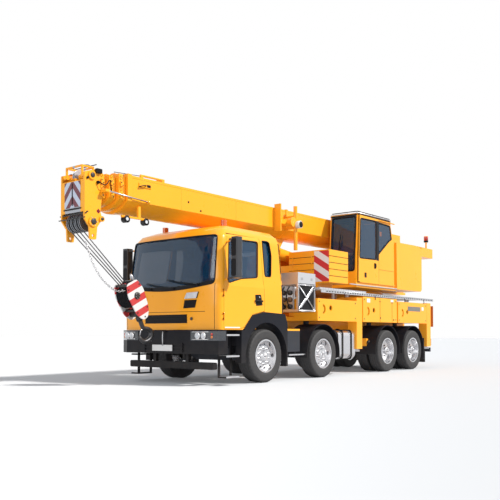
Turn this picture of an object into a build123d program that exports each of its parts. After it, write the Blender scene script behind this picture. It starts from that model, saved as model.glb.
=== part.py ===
# A four-axle truck-mounted mobile crane, parked with its boom down.
# Lengths are millimetres. While a piece is modelled, x is measured forwards from the
# first axle, y to the vehicle's left and z up from a level axle_height below the axles.
# Each piece is moved to the middle of the machine's length, and up or down to stand on
# its tyres, when it is written.
from build123d import *
from math import asin, atan2, cos, degrees, hypot, radians, sin
import os

# Overall length
front_tip_x = 3430
rear_end_x = -7290
origin_x = (front_tip_x + rear_end_x) / 2

# Axles and wheels
body_half = 1250
axle_height = 500
axle_spacings = (1940, 2810, 1355)
tyre_radius = 500
bead_share = 0.60
tyre_width = 295
twin_tyre_width = 272
twin_gap = 52
wheel_face_y = body_half - 15
rim_radius = bead_share * tyre_radius
kingpin_y = wheel_face_y - 330
hub_radius = 118
disc_plate = 14
twin_dish = 70
hub_depth = 92
spindle_radius = 46
running_gap = 0.3
moving_gap = 6
mudguard_gap = 105
mudguard_wall = 12

# Chassis
rail_outer_y = 385
rail_low = 700
rail_high = 970
rail_flange = 80
rail_plate = 12
rail_front_x = 1120
subframe_half = 450
subframe_front_x = -1720
body_low = axle_height + tyre_radius + mudguard_gap + mudguard_wall + 68
deck_low = 1780
deck_high = 1842
platform_high = 1884

# Outriggers
outrigger_xs = (-3404, -7028)
beam_width = 108
beam_height = 280
beam_low = 1300
beam_wall = 10
column_width = 238
column_low = 572
column_high = 1730
column_outer_y = body_half - 10
column_wall = 22
jack_radius = 78
guide_length = 70
foot_radius = 104
foot_thick = 40
foot_gap = 20

# Slewing part
slew_x = -5430
slew_ring_radius = 640
slew_ring_high = 1960
turntable_low = 1972
turntable_plate = 60
cheek_inner_y = 440
cheek_plate = 34
house_low = 2015

# Boom
boom_pivot = (-6800, 3250)
boom_tilt = 0.43
boom_half = 400
boom_top = 368
boom_crease = -60
boom_bottom = -232
boom_tail = 240
boom_nose = 9450
boom_plate = 14
section_count = 3
section_inset = 42
section_step = 165
section_rear_gap = 90
collar_length = 90
collar_rise = 16
pad_length = 60

# Boom head and hook block
sheave_radius = 150
groove_depth = 14
rope_radius = 9

# Luffing cylinder, between the turntable and the boom's lug
barrel_pivot = (-4850, 2350)
eye_offset = (5120, -480)
barrel_radius = 128
rod_radius = 84
eye_radius = 130
eye_half = 90
lug_plate = 40

# Truck cab
cab_rear_x = -500
cab_wall = 50
cab_floor = 1330
door_gap = 7
glass_inset = 12
glass_thick = 8

# Crane cab
crane_cab_low = 2035
crane_cab_inner_y = 490
crane_cab_outer_y = body_half - 36
crane_cab_high = 3690
crane_cab_wall = 36
slide_door_thick = 30

axle_xs = [-sum(axle_spacings[:index]) for index in range(4)]
tube_width = 2 * beam_width + 3 * moving_gap + 2 * beam_wall
tube_low = beam_low - running_gap - beam_wall
tube_high = beam_low + beam_height + moving_gap + beam_wall
tube_end_y = column_outer_y - column_width - moving_gap
steered_axles = axle_xs[:2]
driven_axles = axle_xs[2:]
single_centre_y = wheel_face_y - tyre_width / 2
twin_outer_y = wheel_face_y - twin_tyre_width / 2
twin_inner_y = twin_outer_y - twin_tyre_width - twin_gap

nodes = {}


# A box between low and high corners
def block(x_low, x_high, y_low, y_high, z_low, z_high):
    size = (x_high - x_low, y_high - y_low, z_high - z_low)
    middle = ((x_low + x_high) / 2, (y_low + y_high) / 2, (z_low + z_high) / 2)
    return Pos(*middle) * Box(*size)


# The face inside a closed outline, its corners rounded where a radius is given
def outline(points, radius=0):
    if radius:
        return make_face(FilletPolyline(*points, radius=radius, close=True))
    return make_face(Polyline(*points, close=True))


# A side outline of x and z, drawn across the machine from y_low to y_high
def across(points, y_low, y_high, radius=0):
    face = Plane.XZ.offset(-y_high) * outline(points, radius)
    return extrude(face, amount=y_high - y_low)


# A front outline of y and z, drawn along the machine from x_low to x_high
def along(points, x_low, x_high, radius=0):
    face = Plane.YZ.offset(x_low) * outline(points, radius)
    return extrude(face, amount=x_high - x_low)


# A plan outline of x and y, drawn upwards from z_low to z_high
def upright(points, z_low, z_high, radius=0):
    face = Plane.XY.offset(z_low) * outline(points, radius)
    return extrude(face, amount=z_high - z_low)


# A round bar from one point to another
def bar(start, end, radius):
    start = Vector(*start)
    end = Vector(*end)
    return extrude(Plane(start, z_dir=end - start) * Circle(radius), amount=(end - start).length)


# A round bar along y through a point of x and z
def cross_bar(x, z, y_low, y_high, radius):
    return bar((x, y_low, z), (x, y_high, z), radius)


def mirrored(shape):
    return mirror(shape, Plane.XZ)


def both_sides(shape):
    return shape + mirrored(shape)


# A half-round strip over a wheel, from its front edge round to its rear edge
def arch_strip(x, radius, thick, y_low, y_high, front_low, rear_low):
    ring = cross_bar(x, axle_height, y_low, y_high, radius + thick)
    ring -= cross_bar(x, axle_height, y_low - 1, y_high + 1, radius)
    reach = radius + thick + 1
    front = block(x, x + reach, y_low - 1, y_high + 1, front_low, axle_height + reach)
    rear = block(x - reach, x, y_low - 1, y_high + 1, rear_low, axle_height + reach)
    return (ring & front) + (ring & rear)


# Wheels

# Half section of a tyre: distance from its middle, radius, both as shares
tyre_profile = (
    (-0.40, bead_share),
    (-0.50, 0.72),
    (-0.49, 0.86),
    (-0.42, 0.965),
    (-0.34, 1.00),
    (0.34, 1.00),
    (0.42, 0.965),
    (0.49, 0.86),
    (0.50, 0.72),
    (0.40, bead_share),
)


def tyre(x, y, width):
    points = [(share * width, radius * tyre_radius) for share, radius in tyre_profile]
    half_section = make_face(Plane.YZ * Polyline(*points, close=True))
    return Pos(x, y, axle_height) * revolve(half_section, Axis.Y)


# A turned wheel part from points of distance outwards along the axle and radius
def turned(y, points):
    section = make_face(Plane.YZ * Polyline(*points, close=True))
    return Pos(0, y, axle_height) * revolve(section, Axis.Y)


# A rope sheave turned about a line along y, with a groove round its rim
def sheave(x, z, y, radius, half=24):
    points = (
        (-half, 0),
        (-half, radius),
        (-half + 6, radius),
        (-half + 10, radius - groove_depth),
        (half - 10, radius - groove_depth),
        (half - 6, radius),
        (half, radius),
        (half, 0),
    )
    section = make_face(Plane.YZ * Polyline(*points, close=True))
    return Pos(x, y, z) * revolve(section, Axis.Y)


# The steered wheels' discs bulge outwards round the hub
def single_rim():
    half = tyre_width / 2
    well = rim_radius - 14
    face = 88
    points = (
        (-0.40 * tyre_width, rim_radius),
        (0.40 * tyre_width, rim_radius),
        (half - 6, rim_radius + 12),
        (half - 6, well),
        (0.2 * half, well - 12),
        (face - 40, 0.74 * rim_radius),
        (face, 0.633 * rim_radius),
        (face, hub_radius - 4),
        (face + 46, hub_radius - 26),
        (face + 46, 0),
        (face - 16, 0),
        (face - 16, 0.587 * rim_radius),
        (face - 62, 0.707 * rim_radius),
        (0.05 * half, well - 30),
        (-0.40 * tyre_width, well - 12),
    )
    holes = hand_holes(0.76 * rim_radius, single_centre_y, 0.087 * rim_radius)
    return turned(single_centre_y, points) - holes


# The driven wheels' outer discs are dished, and both of the pair sit on one hub
def twin_rim():
    dish = -twin_dish
    well = rim_radius - 14
    edge = twin_tyre_width / 2 - 6
    points = (
        (-0.40 * twin_tyre_width, rim_radius),
        (0.40 * twin_tyre_width, rim_radius),
        (edge, rim_radius + 12),
        (edge, well),
        (dish + 60, well - 18),
        (dish + 26, 0.787 * rim_radius),
        (dish, 0.633 * rim_radius),
        (dish, 0.373 * rim_radius),
        (edge - 18, 0.32 * rim_radius),
        (edge - 4, 0.233 * rim_radius),
        (edge - 4, 0),
        (dish - hub_depth, 0),
        (dish - hub_depth, 0.5 * rim_radius),
        (dish - 20, 0.633 * rim_radius),
        (dish, 0.8 * rim_radius),
        (-0.40 * twin_tyre_width, well - 18),
    )
    outer = turned(twin_outer_y, points) - hand_holes(0.71 * rim_radius, twin_outer_y, 0.067 * rim_radius)
    mate = twin_outer_y + dish - hub_depth - twin_inner_y
    inner_points = (
        (-0.40 * twin_tyre_width, rim_radius),
        (0.40 * twin_tyre_width, rim_radius),
        (0.40 * twin_tyre_width, well),
        (mate, 0.533 * rim_radius),
        (mate, 0),
        (mate - disc_plate, 0),
        (mate - disc_plate, 0.487 * rim_radius),
        (0.40 * twin_tyre_width - 24, well - 16),
        (-0.40 * twin_tyre_width, well - 16),
    )
    return outer + turned(twin_inner_y, inner_points)


# Ten round holes through the disc, drawn along the axle
def hand_holes(pitch_radius, y, radius):
    cutters = None
    for index in range(10):
        angle = radians(36 * index)
        hole_x = pitch_radius * cos(angle)
        hole_z = axle_height + pitch_radius * sin(angle)
        hole = cross_bar(hole_x, hole_z, y - 145, y + 145, radius)
        cutters = hole if cutters is None else cutters + hole
    return cutters


left_single_rim = single_rim()
left_twin_rim = twin_rim()
for number, axle_x in enumerate(axle_xs, start=1):
    for side, side_name in ((1, "left"), (-1, "right")):
        label = f"wheel_{number}_{side_name}"
        if axle_x in steered_axles:
            nodes[label + "_tyre"] = tyre(axle_x, side * single_centre_y, tyre_width)
            left_rim = left_single_rim
        else:
            outer_tyre = tyre(axle_x, side * twin_outer_y, twin_tyre_width)
            inner_tyre = tyre(axle_x, side * twin_inner_y, twin_tyre_width)
            nodes[label + "_tyre"] = outer_tyre + inner_tyre
            left_rim = left_twin_rim
        nodes[label + "_rim"] = Pos(axle_x, 0, 0) * (left_rim if side > 0 else mirrored(left_rim))

# Knuckles: an upright held above and below by the beam's eye, with the wheel's spindle
knuckle_half = 105
knuckle_inner_y = kingpin_y - 62
rim_back_y = single_centre_y + 88 - 16
for number, axle_x in enumerate(steered_axles, start=1):
    stem_low = (axle_x, kingpin_y, axle_height - knuckle_half)
    stem_high = (axle_x, kingpin_y, axle_height + knuckle_half)
    stem = bar(stem_low, stem_high, 52)
    spindle = cross_bar(axle_x, axle_height, kingpin_y, rim_back_y - running_gap, spindle_radius)
    flange = cross_bar(axle_x, axle_height, kingpin_y + 60, kingpin_y + 84, knuckle_half - 7)
    arm_low = axle_height - 60
    arm = block(axle_x - 230, axle_x, kingpin_y - 12, kingpin_y + 24, arm_low, arm_low + 30)
    left = stem + spindle + flange + arm
    nodes[f"knuckle_{number}_left"] = left
    nodes[f"knuckle_{number}_right"] = mirrored(left)

# Chassis frame: two channel rails, cross members, axles and the box frame of the crane
rail_points = (
    (rail_outer_y, rail_low),
    (rail_outer_y, rail_high),
    (rail_outer_y - rail_flange, rail_high),
    (rail_outer_y - rail_flange, rail_high - rail_plate),
    (rail_outer_y - rail_plate, rail_high - rail_plate),
    (rail_outer_y - rail_plate, rail_low + rail_plate),
    (rail_outer_y - rail_flange, rail_low + rail_plate),
    (rail_outer_y - rail_flange, rail_low),
)
rail_rear_x = rear_end_x + 120
frame = both_sides(along(rail_points, rail_rear_x, rail_front_x))
web_inner_y = rail_outer_y - rail_plate
member_low = rail_low + 40
member_high = rail_high - 40
for member_x in (1040, -1000, -2900, -3750, -5430, -7090):
    member = block(member_x - 60, member_x + 60, -web_inner_y, web_inner_y, member_low, member_high)
    frame += member
box_points = (
    (-subframe_half, rail_high),
    (subframe_half, rail_high),
    (subframe_half, tube_low),
    (-subframe_half, tube_low),
)
frame += along(box_points, rail_rear_x, subframe_front_x)

# Steered axle beams drop in the middle and end in eyes above and below the knuckles
upper_eye_low = axle_height + knuckle_half + running_gap
beam_points = (
    (-kingpin_y - 60, 640),
    (-kingpin_y - 60, upper_eye_low),
    (-kingpin_y + 70, upper_eye_low),
    (-520, 400),
    (520, 400),
    (kingpin_y - 70, upper_eye_low),
    (kingpin_y + 60, upper_eye_low),
    (kingpin_y + 60, 640),
    (kingpin_y - 110, 640),
    (470, 520),
    (-470, 520),
    (-kingpin_y + 110, 640),
)
lower_eye_high = axle_height - knuckle_half - running_gap
fork_y = kingpin_y - 75
for axle_x in steered_axles:
    beam = along(beam_points, axle_x - 55, axle_x + 55)
    eye_low = lower_eye_high - 28
    lower_eye = block(axle_x - 55, axle_x + 55, fork_y, kingpin_y + 50, eye_low, lower_eye_high)
    fork = block(axle_x - 55, axle_x + 55, fork_y - 70, fork_y, eye_low, 640)
    beam += both_sides(lower_eye + fork)
    springs = block(axle_x - 640, axle_x + 640, 330, 410, 640, 668)
    perch = block(axle_x - 90, axle_x + 90, 330, 410, 500, 700)
    frame += beam + both_sides(springs + perch)

# Driven axle housings with a round differential case
for axle_x in driven_axles:
    housing = cross_bar(axle_x, axle_height, -600, 600, 92)
    housing += cross_bar(axle_x, axle_height, -150, 150, 215)
    stub_end_y = twin_outer_y - twin_dish - hub_depth - disc_plate - running_gap
    housing += cross_bar(axle_x, axle_height, -stub_end_y, stub_end_y, 62)
    perch = block(axle_x - 80, axle_x + 80, 400, 480, 500, rail_low)
    saddle = block(axle_x - 80, axle_x + 80, 340, 480, rail_low, rail_low + 30)
    frame += housing + both_sides(perch + saddle)

# Slewing ring's seat on the box frame
ring_seat = Pos(slew_x, 0, (tube_low + slew_ring_high) / 2)
ring_seat *= Cylinder(slew_ring_radius, slew_ring_high - tube_low)
frame += ring_seat

# Two open tubes across the frame hold the outrigger beams, front and rear
for outrigger_x in outrigger_xs:
    half = tube_width / 2
    inner = half - beam_wall
    inner_low = tube_low + beam_wall
    inner_high = tube_high - beam_wall
    tube = block(-half, half, -tube_end_y, tube_end_y, tube_low, tube_high)
    tube -= block(-inner, inner, -tube_end_y - 1, tube_end_y + 1, inner_low, inner_high)
    frame += Pos(outrigger_x, 0, 0) * tube

# Rear bar behind the rails, which carries the tail lamps, and the under-run bar below
rear_bar_y = body_half - 60
frame += block(rear_end_x + 40, rail_rear_x, -rear_bar_y, rear_bar_y, 640, 740)
under_run = block(rear_end_x + 40, rear_end_x + 110, -rear_bar_y, rear_bar_y, 430, 540)
frame += under_run + both_sides(block(rear_end_x + 60, rear_end_x + 90, 560, 640, 540, 640))

# Battery boxes between the steered wheels, with a tread below
battery_outer_y = body_half - 50
battery = block(-1130, -680, 620, battery_outer_y, 560, 1010)
battery += block(-1130, -680, rail_outer_y, 620, rail_low + 20, rail_high - 20)
battery += block(-1160, -700, battery_outer_y - 130, battery_outer_y, 480, 508)
for hanger_x in (-1100, -780):
    battery += block(hanger_x, hanger_x + 40, battery_outer_y - 100, battery_outer_y - 80, 500, 570)
frame += both_sides(battery)

# Feet under the engine and mounts under the cab's floor, all on the rails
engine_half = 300
cab_underside = cab_floor - cab_wall
for foot_x in (-340, 560):
    foot = block(foot_x, foot_x + 120, engine_half, web_inner_y, 800, 860)
    frame += both_sides(foot)
front_mount = block(900, 1010, rail_outer_y - 70, rail_outer_y - 10, rail_high, cab_underside)
frame += both_sides(front_mount)
nodes["chassis_frame"] = frame

# Outrigger beams lie side by side, the left one in front; each ends in a jack column
foot_high = column_low - foot_gap
for row_name, outrigger_x in (("front", outrigger_xs[0]), ("rear", outrigger_xs[1])):
    for side, side_name in ((1, "left"), (-1, "right")):
        beam_x = outrigger_x + side * (beam_width + moving_gap) / 2
        inner_end_y = -(tube_end_y - 20)
        column_inner_y = column_outer_y - column_width
        arm = block(-beam_width / 2, beam_width / 2, inner_end_y, column_inner_y, 0, beam_height)
        arm = Pos(beam_x, 0, beam_low) * arm
        half = column_width / 2
        column_y = column_outer_y - half
        column = block(-half, half, column_inner_y, column_outer_y, column_low, column_high)
        column = Pos(outrigger_x, 0, 0) * column
        bore = Pos(outrigger_x, column_y, (column_low + column_high) / 2 - column_wall)
        column -= bore * Cylinder(jack_radius + moving_gap, column_high - column_low)
        guide = Pos(outrigger_x, column_y, column_low + guide_length / 2)
        guide_bore = Cylinder(jack_radius + running_gap, guide_length)
        column += guide * (Cylinder(jack_radius + moving_gap, guide_length) - guide_bore)
        jack_low = foot_high - foot_thick
        jack_high = column_high - column_wall - 20
        jack = bar((outrigger_x, column_y, jack_low), (outrigger_x, column_y, jack_high), jack_radius)
        foot = Pos(outrigger_x, column_y, jack_low + foot_thick / 2) * Cylinder(foot_radius, foot_thick)
        beam_shape = arm + column
        jack_shape = jack + foot
        if side < 0:
            beam_shape = mirrored(beam_shape)
            jack_shape = mirrored(jack_shape)
        nodes[f"outrigger_{row_name}_{side_name}"] = beam_shape
        nodes[f"jack_{row_name}_{side_name}"] = jack_shape

# Engine, a plain block under the truck cab
nodes["engine"] = block(-480, 780, -engine_half, engine_half, 760, 1240)

# Truck cab

# Plan sections of the cab: height, front face, half width, front corner radius
cab_sections = (
    (985, 1388, body_half, 150),
    (1400, 1405, body_half, 170),
    (1760, 1395, body_half - 4, 170),
    (1900, 1352, body_half - 28, 165),
    (2640, 1135, body_half - 100, 150),
    (2780, 1030, body_half - 182, 130),
    (2872, 800, body_half - 320, 110),
)


# The cab's outer form, or the same form set inwards all round
def cab_form(inset):
    faces = []
    for height, front, half, radius in cab_sections:
        top = cab_sections[-1][0]
        level = min(height, top - inset)
        length = front - cab_rear_x - 2 * inset
        middle = (front + cab_rear_x) / 2
        face = Pos(middle, 0, level) * Rectangle(length, 2 * (half - inset))
        face = fillet(face.vertices().group_by(Axis.X)[-1], radius)
        faces.append(face)
    return loft(faces, ruled=True)


arch_points = (
    (650, 900),
    (650, 1025),
    (430, 1255),
    (100, 1320),
    (cab_rear_x - 60, 1290),
    (cab_rear_x - 60, 900),
)
door_points = (
    (1200, 1000),
    (1195, 1752),
    (1012, 2690),
    (95, 2706),
    (66, 1338),
    (428, 1268),
    (655, 1036),
    (760, 1004),
)
door_window_points = (
    (1070, 1806),
    (972, 2606),
    (152, 2626),
    (238, 1950),
    (700, 1905),
)
quarter_window_points = (
    (16, 1990),
    (20, 2668),
    (-190, 2668),
    (-232, 2410),
    (-172, 1990),
)
windscreen_points = (
    (188 - body_half, 1808),
    (body_half - 188, 1808),
    (body_half - 260, 2622),
    (260 - body_half, 2622),
)
rear_window_points = (
    (-620, 2000),
    (620, 2000),
    (600, 2560),
    (-600, 2560),
)
outer_form = cab_form(0)
bay_y = body_half - cab_wall
floor_y = body_half - 55
lower_bay = block(cab_rear_x + cab_wall, 1338, -bay_y, bay_y, 900, cab_floor - cab_wall)
arches = across(arch_points, -body_half - 1, body_half + 1)
floor = block(cab_rear_x + 10, 1330, -floor_y, floor_y, cab_floor - cab_wall, cab_floor) - arches
cab_walls = outer_form - cab_form(cab_wall) - lower_bay - arches
side_inner_y = body_half - 250
side_outer_y = body_half + 50
grille_recess = along(((-550, 1105), (550, 1105), (520, 1255), (-520, 1255)), 1360, 1420)
corner_lamp = along(((620, 1540), (745, 1548), (800, 1600), (650, 1588)), 1372, 1412) & outer_form
cab_walls -= grille_recess + both_sides(corner_lamp)
windscreen_cut = along(windscreen_points, 900, 1500, 40)
rear_cut = along(rear_window_points, cab_rear_x - 50, cab_rear_x + 120, 40)
door_face = across(door_points, side_inner_y, side_outer_y)
door_gap_outline = offset(outline(door_points), door_gap, kind=Kind.INTERSECTION)
door_opening_face = Plane.XZ.offset(-side_outer_y) * door_gap_outline
door_opening = extrude(door_opening_face, amount=side_outer_y - side_inner_y)
door_window = across(door_window_points, side_inner_y, side_outer_y, 40)
quarter_window = across(quarter_window_points, side_inner_y, side_outer_y, 40)
cab_shell = cab_walls - windscreen_cut - rear_cut - both_sides(door_opening + quarter_window)
cab_shell += floor
# Hinge ears of the doors, above and below the door's own barrel
hinge_x = 1203
hinge_y = body_half + 14
hinge_radius = 11
hinge_barrel = 60
hinge_ear = 28
hinge_levels = (1190, 1600)
ears = None
door_barrels = None
for level in hinge_levels:
    barrel_high = level + hinge_barrel
    for ear_low in (level - running_gap - hinge_ear, barrel_high + running_gap):
        ear = bar((hinge_x, hinge_y, ear_low), (hinge_x, hinge_y, ear_low + hinge_ear), hinge_radius)
        ear += block(hinge_x, hinge_x + 34, body_half + 2, hinge_y, ear_low, ear_low + hinge_ear)
        ear += block(hinge_x + 10, hinge_x + 34, body_half - 20, hinge_y, ear_low, ear_low + hinge_ear)
        ears = ear if ears is None else ears + ear
    barrel = bar((hinge_x, hinge_y, level), (hinge_x, hinge_y, barrel_high), hinge_radius)
    barrel += block(hinge_x - 34, hinge_x, body_half + 2, hinge_y, level, barrel_high)
    barrel += block(hinge_x - 34, hinge_x - 12, body_half - 20, hinge_y, level, barrel_high)
    door_barrels = barrel if door_barrels is None else door_barrels + barrel
nodes["cab_shell"] = cab_shell + both_sides(ears)

glass_skin = cab_form(glass_inset) - cab_form(glass_inset + glass_thick)
nodes["cab_glass"] = glass_skin & (windscreen_cut + rear_cut + both_sides(quarter_window))

# Doors with mirrors on their front edge and a pull handle near the rear edge
door_panel = (cab_walls & door_face) - door_window
mirror_y = body_half + 150
mirror_arms = bar((1004, body_half - 112, 2540), (1110, mirror_y, 2560), 16)
mirror_arms += bar((1126, body_half - 40, 1860), (1110, mirror_y, 1900), 16)
mirror_plan = (
    (1150, mirror_y - 40),
    (1150, mirror_y + 100),
    (1010, mirror_y + 115),
    (1010, mirror_y - 55),
)
mirror_head = upright(mirror_plan, 1880, 2600, 25)
handle = block(150, 360, body_half + 6, body_half + 32, 1500, 1530)
for handle_x in (150, 320):
    handle += block(handle_x, handle_x + 40, body_half - 2, body_half + 8, 1500, 1530)
left_door = door_panel + door_barrels + mirror_arms + mirror_head + handle
nodes["cab_door_left"] = left_door
nodes["cab_door_right"] = mirrored(left_door)
left_door_glass = glass_skin & door_window
nodes["cab_door_left_glass"] = left_door_glass
nodes["cab_door_right_glass"] = mirrored(left_door_glass)

# Seats, dashboard and steering wheel, seen through the glass
dash_points = (
    (1320, 1620),
    (1180, 1800),
    (960, 1800),
    (930, 1560),
    (1010, 1400),
    (1010, cab_floor),
    (1320, cab_floor),
)
interior = across(dash_points, 130 - body_half, body_half - 130)
for seat_y in (560, -560):
    seat = block(130, 640, seat_y - 250, seat_y + 250, 1620, 1760)
    seat += across(((130, 1700), (250, 1700), (130, 2380), (10, 2380)), seat_y - 240, seat_y + 240, 40)
    seat += block(210, 560, seat_y - 150, seat_y + 150, cab_floor, 1620)
    interior += seat
wheel_plane = Plane((820, 560, 1840), z_dir=(-0.62, 0, 0.78))
steering_wheel = wheel_plane * Torus(225, 16)
steering_wheel += wheel_plane * Box(420, 40, 16) + wheel_plane * Pos(0, 0, -90) * Cylinder(30, 180)
interior += steering_wheel
nodes["cab_interior"] = interior

# Bumper, grille bars, under-run bar and the entry steps' frames
bumper_plan = (
    (1140, body_half + 12),
    (1330, body_half - 10),
    (1450, body_half - 250),
    (1450, 250 - body_half),
    (1330, 10 - body_half),
    (1140, -12 - body_half),
    (1140, 70 - body_half),
    (1290, 120 - body_half),
    (1350, 290 - body_half),
    (1350, body_half - 290),
    (1290, body_half - 120),
    (1140, body_half - 70),
)
bumper = upright(bumper_plan, 560, 980)
bar_y = body_half - 164
bumper += along(((-bar_y, 285), (bar_y, 285), (bar_y, 410), (-bar_y, 410)), 1190, 1290, 30)
bumper_bracket = block(1205, 1270, rail_outer_y, 460, 400, 730)
bumper_bracket += block(1100, 1360, rail_outer_y, 460, 730, 900)
bumper += both_sides(bumper_bracket)
headlamp_plan = (
    (1500, body_half - 560),
    (1500, side_outer_y),
    (1160, side_outer_y),
    (1160, side_inner_y),
    (1400, body_half - 560),
)
headlamp_zone = both_sides(upright(headlamp_plan, 795, 962))
headlamps = bumper & headlamp_zone
bumper -= headlamp_zone
grille_bars = None
for bar_z in (1130, 1180, 1230):
    grille_bar = block(1362, 1392, -522, 522, bar_z - 8, bar_z + 8)
    grille_bars = grille_bar if grille_bars is None else grille_bars + grille_bar
bumper += grille_bars + along(((-520, 1108), (520, 1108), (515, 1252), (-515, 1252)), 1360, 1366)
lower_grille = None
for bar_z in (610, 665, 720):
    lower_bar = block(1430, 1468, -520, 520, bar_z - 12, bar_z + 12)
    lower_grille = lower_bar if lower_grille is None else lower_grille + lower_bar
for post_y in (-500, 0, 470):
    lower_grille += block(1430, 1474, post_y, post_y + 30, 585, 745)
nodes["bumper"] = bumper + lower_grille

# Aluminium treads of the entry steps, hung on the bumper's side
step_levels = (150, 515, 890)
step_inner_y = body_half - 210
steps = None
for step_z in step_levels:
    tread = block(770, 1130, step_inner_y, body_half - 10, step_z - 14, step_z + 14)
    steps = tread if steps is None else steps + tread
for cheek_x in (770, 1080):
    steps += block(cheek_x, cheek_x + 50, step_inner_y, step_inner_y + 20, 136, 900)
steps += block(1080, 1140, body_half - 70, body_half - 15, 560, 900)
nodes["entry_steps"] = both_sides(steps)

# Lamps: headlamps in the bumper, position lamps above, beacons on the roof, tail lamps
roof_high = cab_sections[-1][0]
lamps = corner_lamp + bar((680, 770, roof_high), (680, 770, roof_high + 135), 58)
lamps += block(rear_end_x, rear_end_x + 40, body_half - 490, body_half - 70, 620, 760)
nodes["lamps"] = headlamps + both_sides(lamps)

# Mudguards over the wheels, with flaps behind
guard_outer_y = body_half - 6
guards = None
for axle_x in axle_xs[1:]:
    steered = axle_x in steered_axles
    inner_y = 700 if steered else 620
    guard_radius = tyre_radius + mudguard_gap
    guard = arch_strip(axle_x, guard_radius, mudguard_wall, inner_y, guard_outer_y, 430, 400)
    guard_top = axle_height + guard_radius + mudguard_wall
    guard += block(axle_x - 60, axle_x + 60, inner_y + 60, inner_y + 120, guard_top - 8, body_low)
    guards = guard if guards is None else guards + guard
flap_x = axle_xs[3] - tyre_radius - mudguard_gap
flap = block(flap_x - 20, flap_x - 4, 640, guard_outer_y, 235, 800)
flare_points = (
    (742, 390),
    (738, 983),
    (650, 983),
    (650, 1025),
    (430, 1255),
    (100, 1320),
    (cab_rear_x - 60, 1290),
    (-640, 1120),
    (-650, 285),
    (-100, 285),
    (-100, 390),
)
liner_radius = tyre_radius + mudguard_gap + 15
flare_inner_y = body_half - 130
flare = across(flare_points, flare_inner_y, body_half + 8)
flare -= cross_bar(axle_xs[0], axle_height, side_inner_y, side_outer_y, liner_radius)
flare -= block(-520, 620, side_inner_y, side_outer_y, 200, 600)
front_liner = arch_strip(axle_xs[0], liner_radius, 10, 700, flare_inner_y + 2, 700, 400)
guards += flap + flare + front_liner
nodes["mudguards"] = both_sides(guards)

# Fuel tank with two straps, and the tank's twin on the right
tank_rear_x = outrigger_xs[0] + column_width / 2 + 14
tank_front_x = axle_xs[1] - tyre_radius - mudguard_gap - mudguard_wall - 14
tank_outer_y = body_half - 50
tank_points = ((650, 365), (tank_outer_y, 365), (tank_outer_y, 980), (650, 980))
tank = along(tank_points, tank_rear_x, tank_front_x, 110)
strap_y = tank_outer_y + 6
strap_points = ((644, 359), (strap_y, 359), (strap_y, 986), (644, 986))
for strap_x in (tank_rear_x + 170, tank_front_x - 170):
    tank += along(strap_points, strap_x - 25, strap_x + 25, 114)
tank += block(tank_rear_x + 90, tank_front_x - 90, rail_outer_y, 660, 720, 900)
nodes["fuel_tanks"] = both_sides(tank)

# Side bodies: boxes between the jack columns, with a round recess and a curved slot
box_spans = ((-3270, -1700, 1650), (-5190, -3550, 1762), (-6878, -5260, 1712))
boxes = None
for rear_x, front_x, high in box_spans:
    side_box = block(rear_x, front_x, 640, body_half, body_low, high)
    recess_y = (body_half - 40, body_half + 10)
    side_box -= cross_bar(front_x - 500, 1461, *recess_y, 58)
    slot = cross_bar(front_x - 197, 1431, *recess_y, 105) - cross_bar(front_x - 170, 1431, *recess_y, 70)
    side_box -= slot & block(front_x - 310, front_x - 197, *recess_y, 1330, 1530)
    boxes = side_box if boxes is None else boxes + side_box
boxes += block(-3270, -1720, subframe_half, 640, body_low, body_low + 85)
boxes += block(-6878, -3550, subframe_half, 640, body_low, body_low + 85)
nodes["side_boxes"] = both_sides(boxes)

# Deck with its edge strips and the raised platform under the ballast
deck = block(rear_end_x, -1840, -body_half, body_half, deck_high - 16, deck_high)
deck += both_sides(block(rear_end_x, -1840, body_half - 20, body_half, deck_low, deck_high))
deck -= Pos(slew_x, 0, deck_high) * Cylinder(slew_ring_radius + 8, 200)
deck += block(-3690, -1780, -body_half, body_half, deck_high, platform_high)
deck_posts = None
for rear_x, front_x, high in box_spans:
    for post_x in (rear_x + 140, front_x - 180):
        post = block(post_x - 40, post_x + 40, 700, 780, high, deck_high - 16)
        deck_posts = post if deck_posts is None else deck_posts + post
nodes["deck"] = deck + both_sides(deck_posts)

# Stowage frame behind the cab: a closed cabinet above an open braced bay
bay_outer_y = body_half - 50
brace_y = bay_outer_y - 20
bay = block(-1690, -1070, 640, bay_outer_y, 1910, 2150)
for post_x in (-1690, -1110):
    bay += block(post_x, post_x + 40, bay_outer_y - 40, bay_outer_y, 1360, 1910)
    bay += block(post_x, post_x + 40, 640, 680, 1360, 1910)
bay += block(-1690, -1070, 640, bay_outer_y, 1360, 1400)
bay += bar((-1660, brace_y, 1400), (-1100, brace_y, 1905), 16)
bay += bar((-1100, brace_y, 1400), (-1660, brace_y, 1905), 16)
bay += block(-1690, -1070, 640, 660, 1400, 1910)
bay += block(-1500, -1300, 300, 640, 1360, 1400) + block(-1500, -1300, 300, 360, rail_high, 1400)
nodes["stowage_bay"] = both_sides(bay)

# Ballast plates, stacked on two bearers, with a trench for the luffing cylinder
ballast_levels = (2005, 2150, 2295, 2435, 2575, 2712)
ballast = None
for index in range(len(ballast_levels) - 1):
    plate_low = ballast_levels[index] + 8
    plate = block(-2900, -2140, -body_half, body_half, plate_low, ballast_levels[index + 1])
    core = block(-2880, -2160, -body_half + 20, body_half - 20, ballast_levels[index], plate_low)
    ballast = plate + core if ballast is None else ballast + plate + core
ballast -= block(-2950, -2090, -190, 190, 2420, 2800)
ballast += both_sides(block(-2800, -2240, 500, 900, platform_high, 2005))
nodes["ballast"] = ballast

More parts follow.
